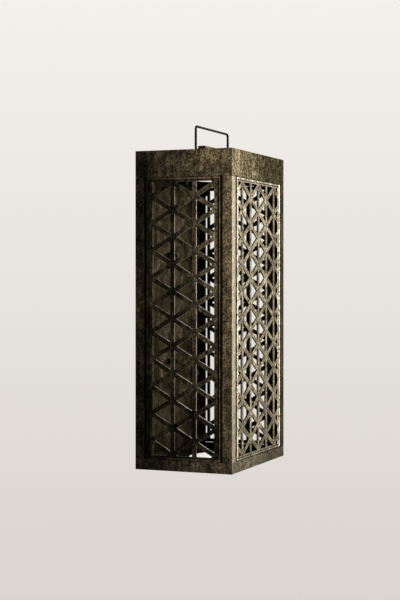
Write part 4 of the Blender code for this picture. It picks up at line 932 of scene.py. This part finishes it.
def seen_directly(world):
    """1 for a ray from the camera, from a mirror-like surface or through glass, and 0 for other rays."""
    path = add_node(world, "LightPath").outputs
    seen = path["Is Camera Ray"]
    for kind in ("Is Glossy Ray", "Is Transmission Ray"):
        either = add_node(world, "Math", feeds={0: seen, 1: path[kind]}, operation="MAXIMUM")
        seen = either.outputs["Value"]
    return seen


def shown_through(owner, share, first, second, output):
    """Ends a world or a finish in two shaders, with share as how much of the second one shows."""
    both = add_node(owner, "MixShader", feeds={"Fac": share, 1: first, 2: second})
    feed(owner, both.outputs["Shader"], owner.node_tree.nodes[output].inputs["Surface"])


def surround():
    """The pale surround, lighter above than below, with plain grey light for everything else."""
    world = bpy.data.worlds.new("pale_surround")
    world.use_nodes = True
    soft = world.node_tree.nodes["Background"]
    soft.inputs["Color"].default_value = SURROUND_LIGHT
    direction = add_node(world, "TexCoord").outputs["Generated"]
    height = add_node(world, "SeparateXYZ", feeds={"Vector": direction}).outputs["Z"]
    limits = {"From Min": -PALE_BLEND, "From Max": PALE_BLEND}
    level = add_node(world, "MapRange", limits, {"Value": height}).outputs["Result"]
    shade = laid_over(world, level, PALE_BELOW, PALE_ABOVE)
    shown = add_node(world, "Background", feeds={"Color": shade}).outputs["Background"]
    shown_through(world, seen_directly(world), soft.outputs["Background"], shown, "World Output")
    bpy.context.scene.world = world


def studio_floor():
    """A pale round floor that takes the lamp's shadow, and fades into the surround towards its edge."""
    form = bmesh.new()
    bmesh.ops.create_circle(form, cap_ends=True, segments=FLOOR_SIDES, radius=FLOOR_RADIUS)
    mesh = bpy.data.meshes.new("studio_floor")
    form.to_mesh(mesh)
    form.free()
    floor = bpy.data.objects.new("studio_floor", mesh)
    floor.location.z = FLOOR_LEVEL
    bpy.context.scene.collection.objects.link(floor)
    paint, matt = new_finish("pale_floor", 0.0)
    matt.inputs["Base Color"].default_value = (*PALE_BELOW, 1)
    matt.inputs["Roughness"].default_value = 0.9
    place = add_node(paint, "TexCoord").outputs["Object"]
    far = add_node(paint, "VectorMath", feeds={0: place}, operation="LENGTH").outputs["Value"]
    limits = {"From Min": FLOOR_FULL, "From Max": FLOOR_RADIUS}
    faded = add_node(paint, "MapRange", limits, {"Value": far}).outputs["Result"]
    clear = add_node(paint, "BsdfTransparent").outputs["BSDF"]
    shown_through(paint, faded, matt.outputs["BSDF"], clear, "Material Output")
    mesh.materials.append(paint)


surround()
studio_floor()
bpy.context.scene.view_settings.view_transform = "Standard"

# Camera: level, a little above the height of the lamp's middle, to the left of the front.
# The lens suits a picture 400 wide and 600 high, and is shifted down as far as its framing needs.
CAMERA_PLACE = (-1.669, -0.733, 0.042)
CAMERA_WAY = Vector((0.9251, 0.3798, 0))
SENSOR_WIDTH = 36
LENS = 82.6
LENS_SHIFT = -0.0387
camera_data = bpy.data.cameras.new("camera")
camera_data.sensor_width = SENSOR_WIDTH
camera_data.lens = LENS
camera_data.shift_y = LENS_SHIFT
camera = bpy.data.objects.new("camera", camera_data)
camera.location = CAMERA_PLACE
camera.rotation_euler = CAMERA_WAY.to_track_quat("-Z", "Y").to_euler()
bpy.context.scene.collection.objects.link(camera)
bpy.context.scene.camera = camera
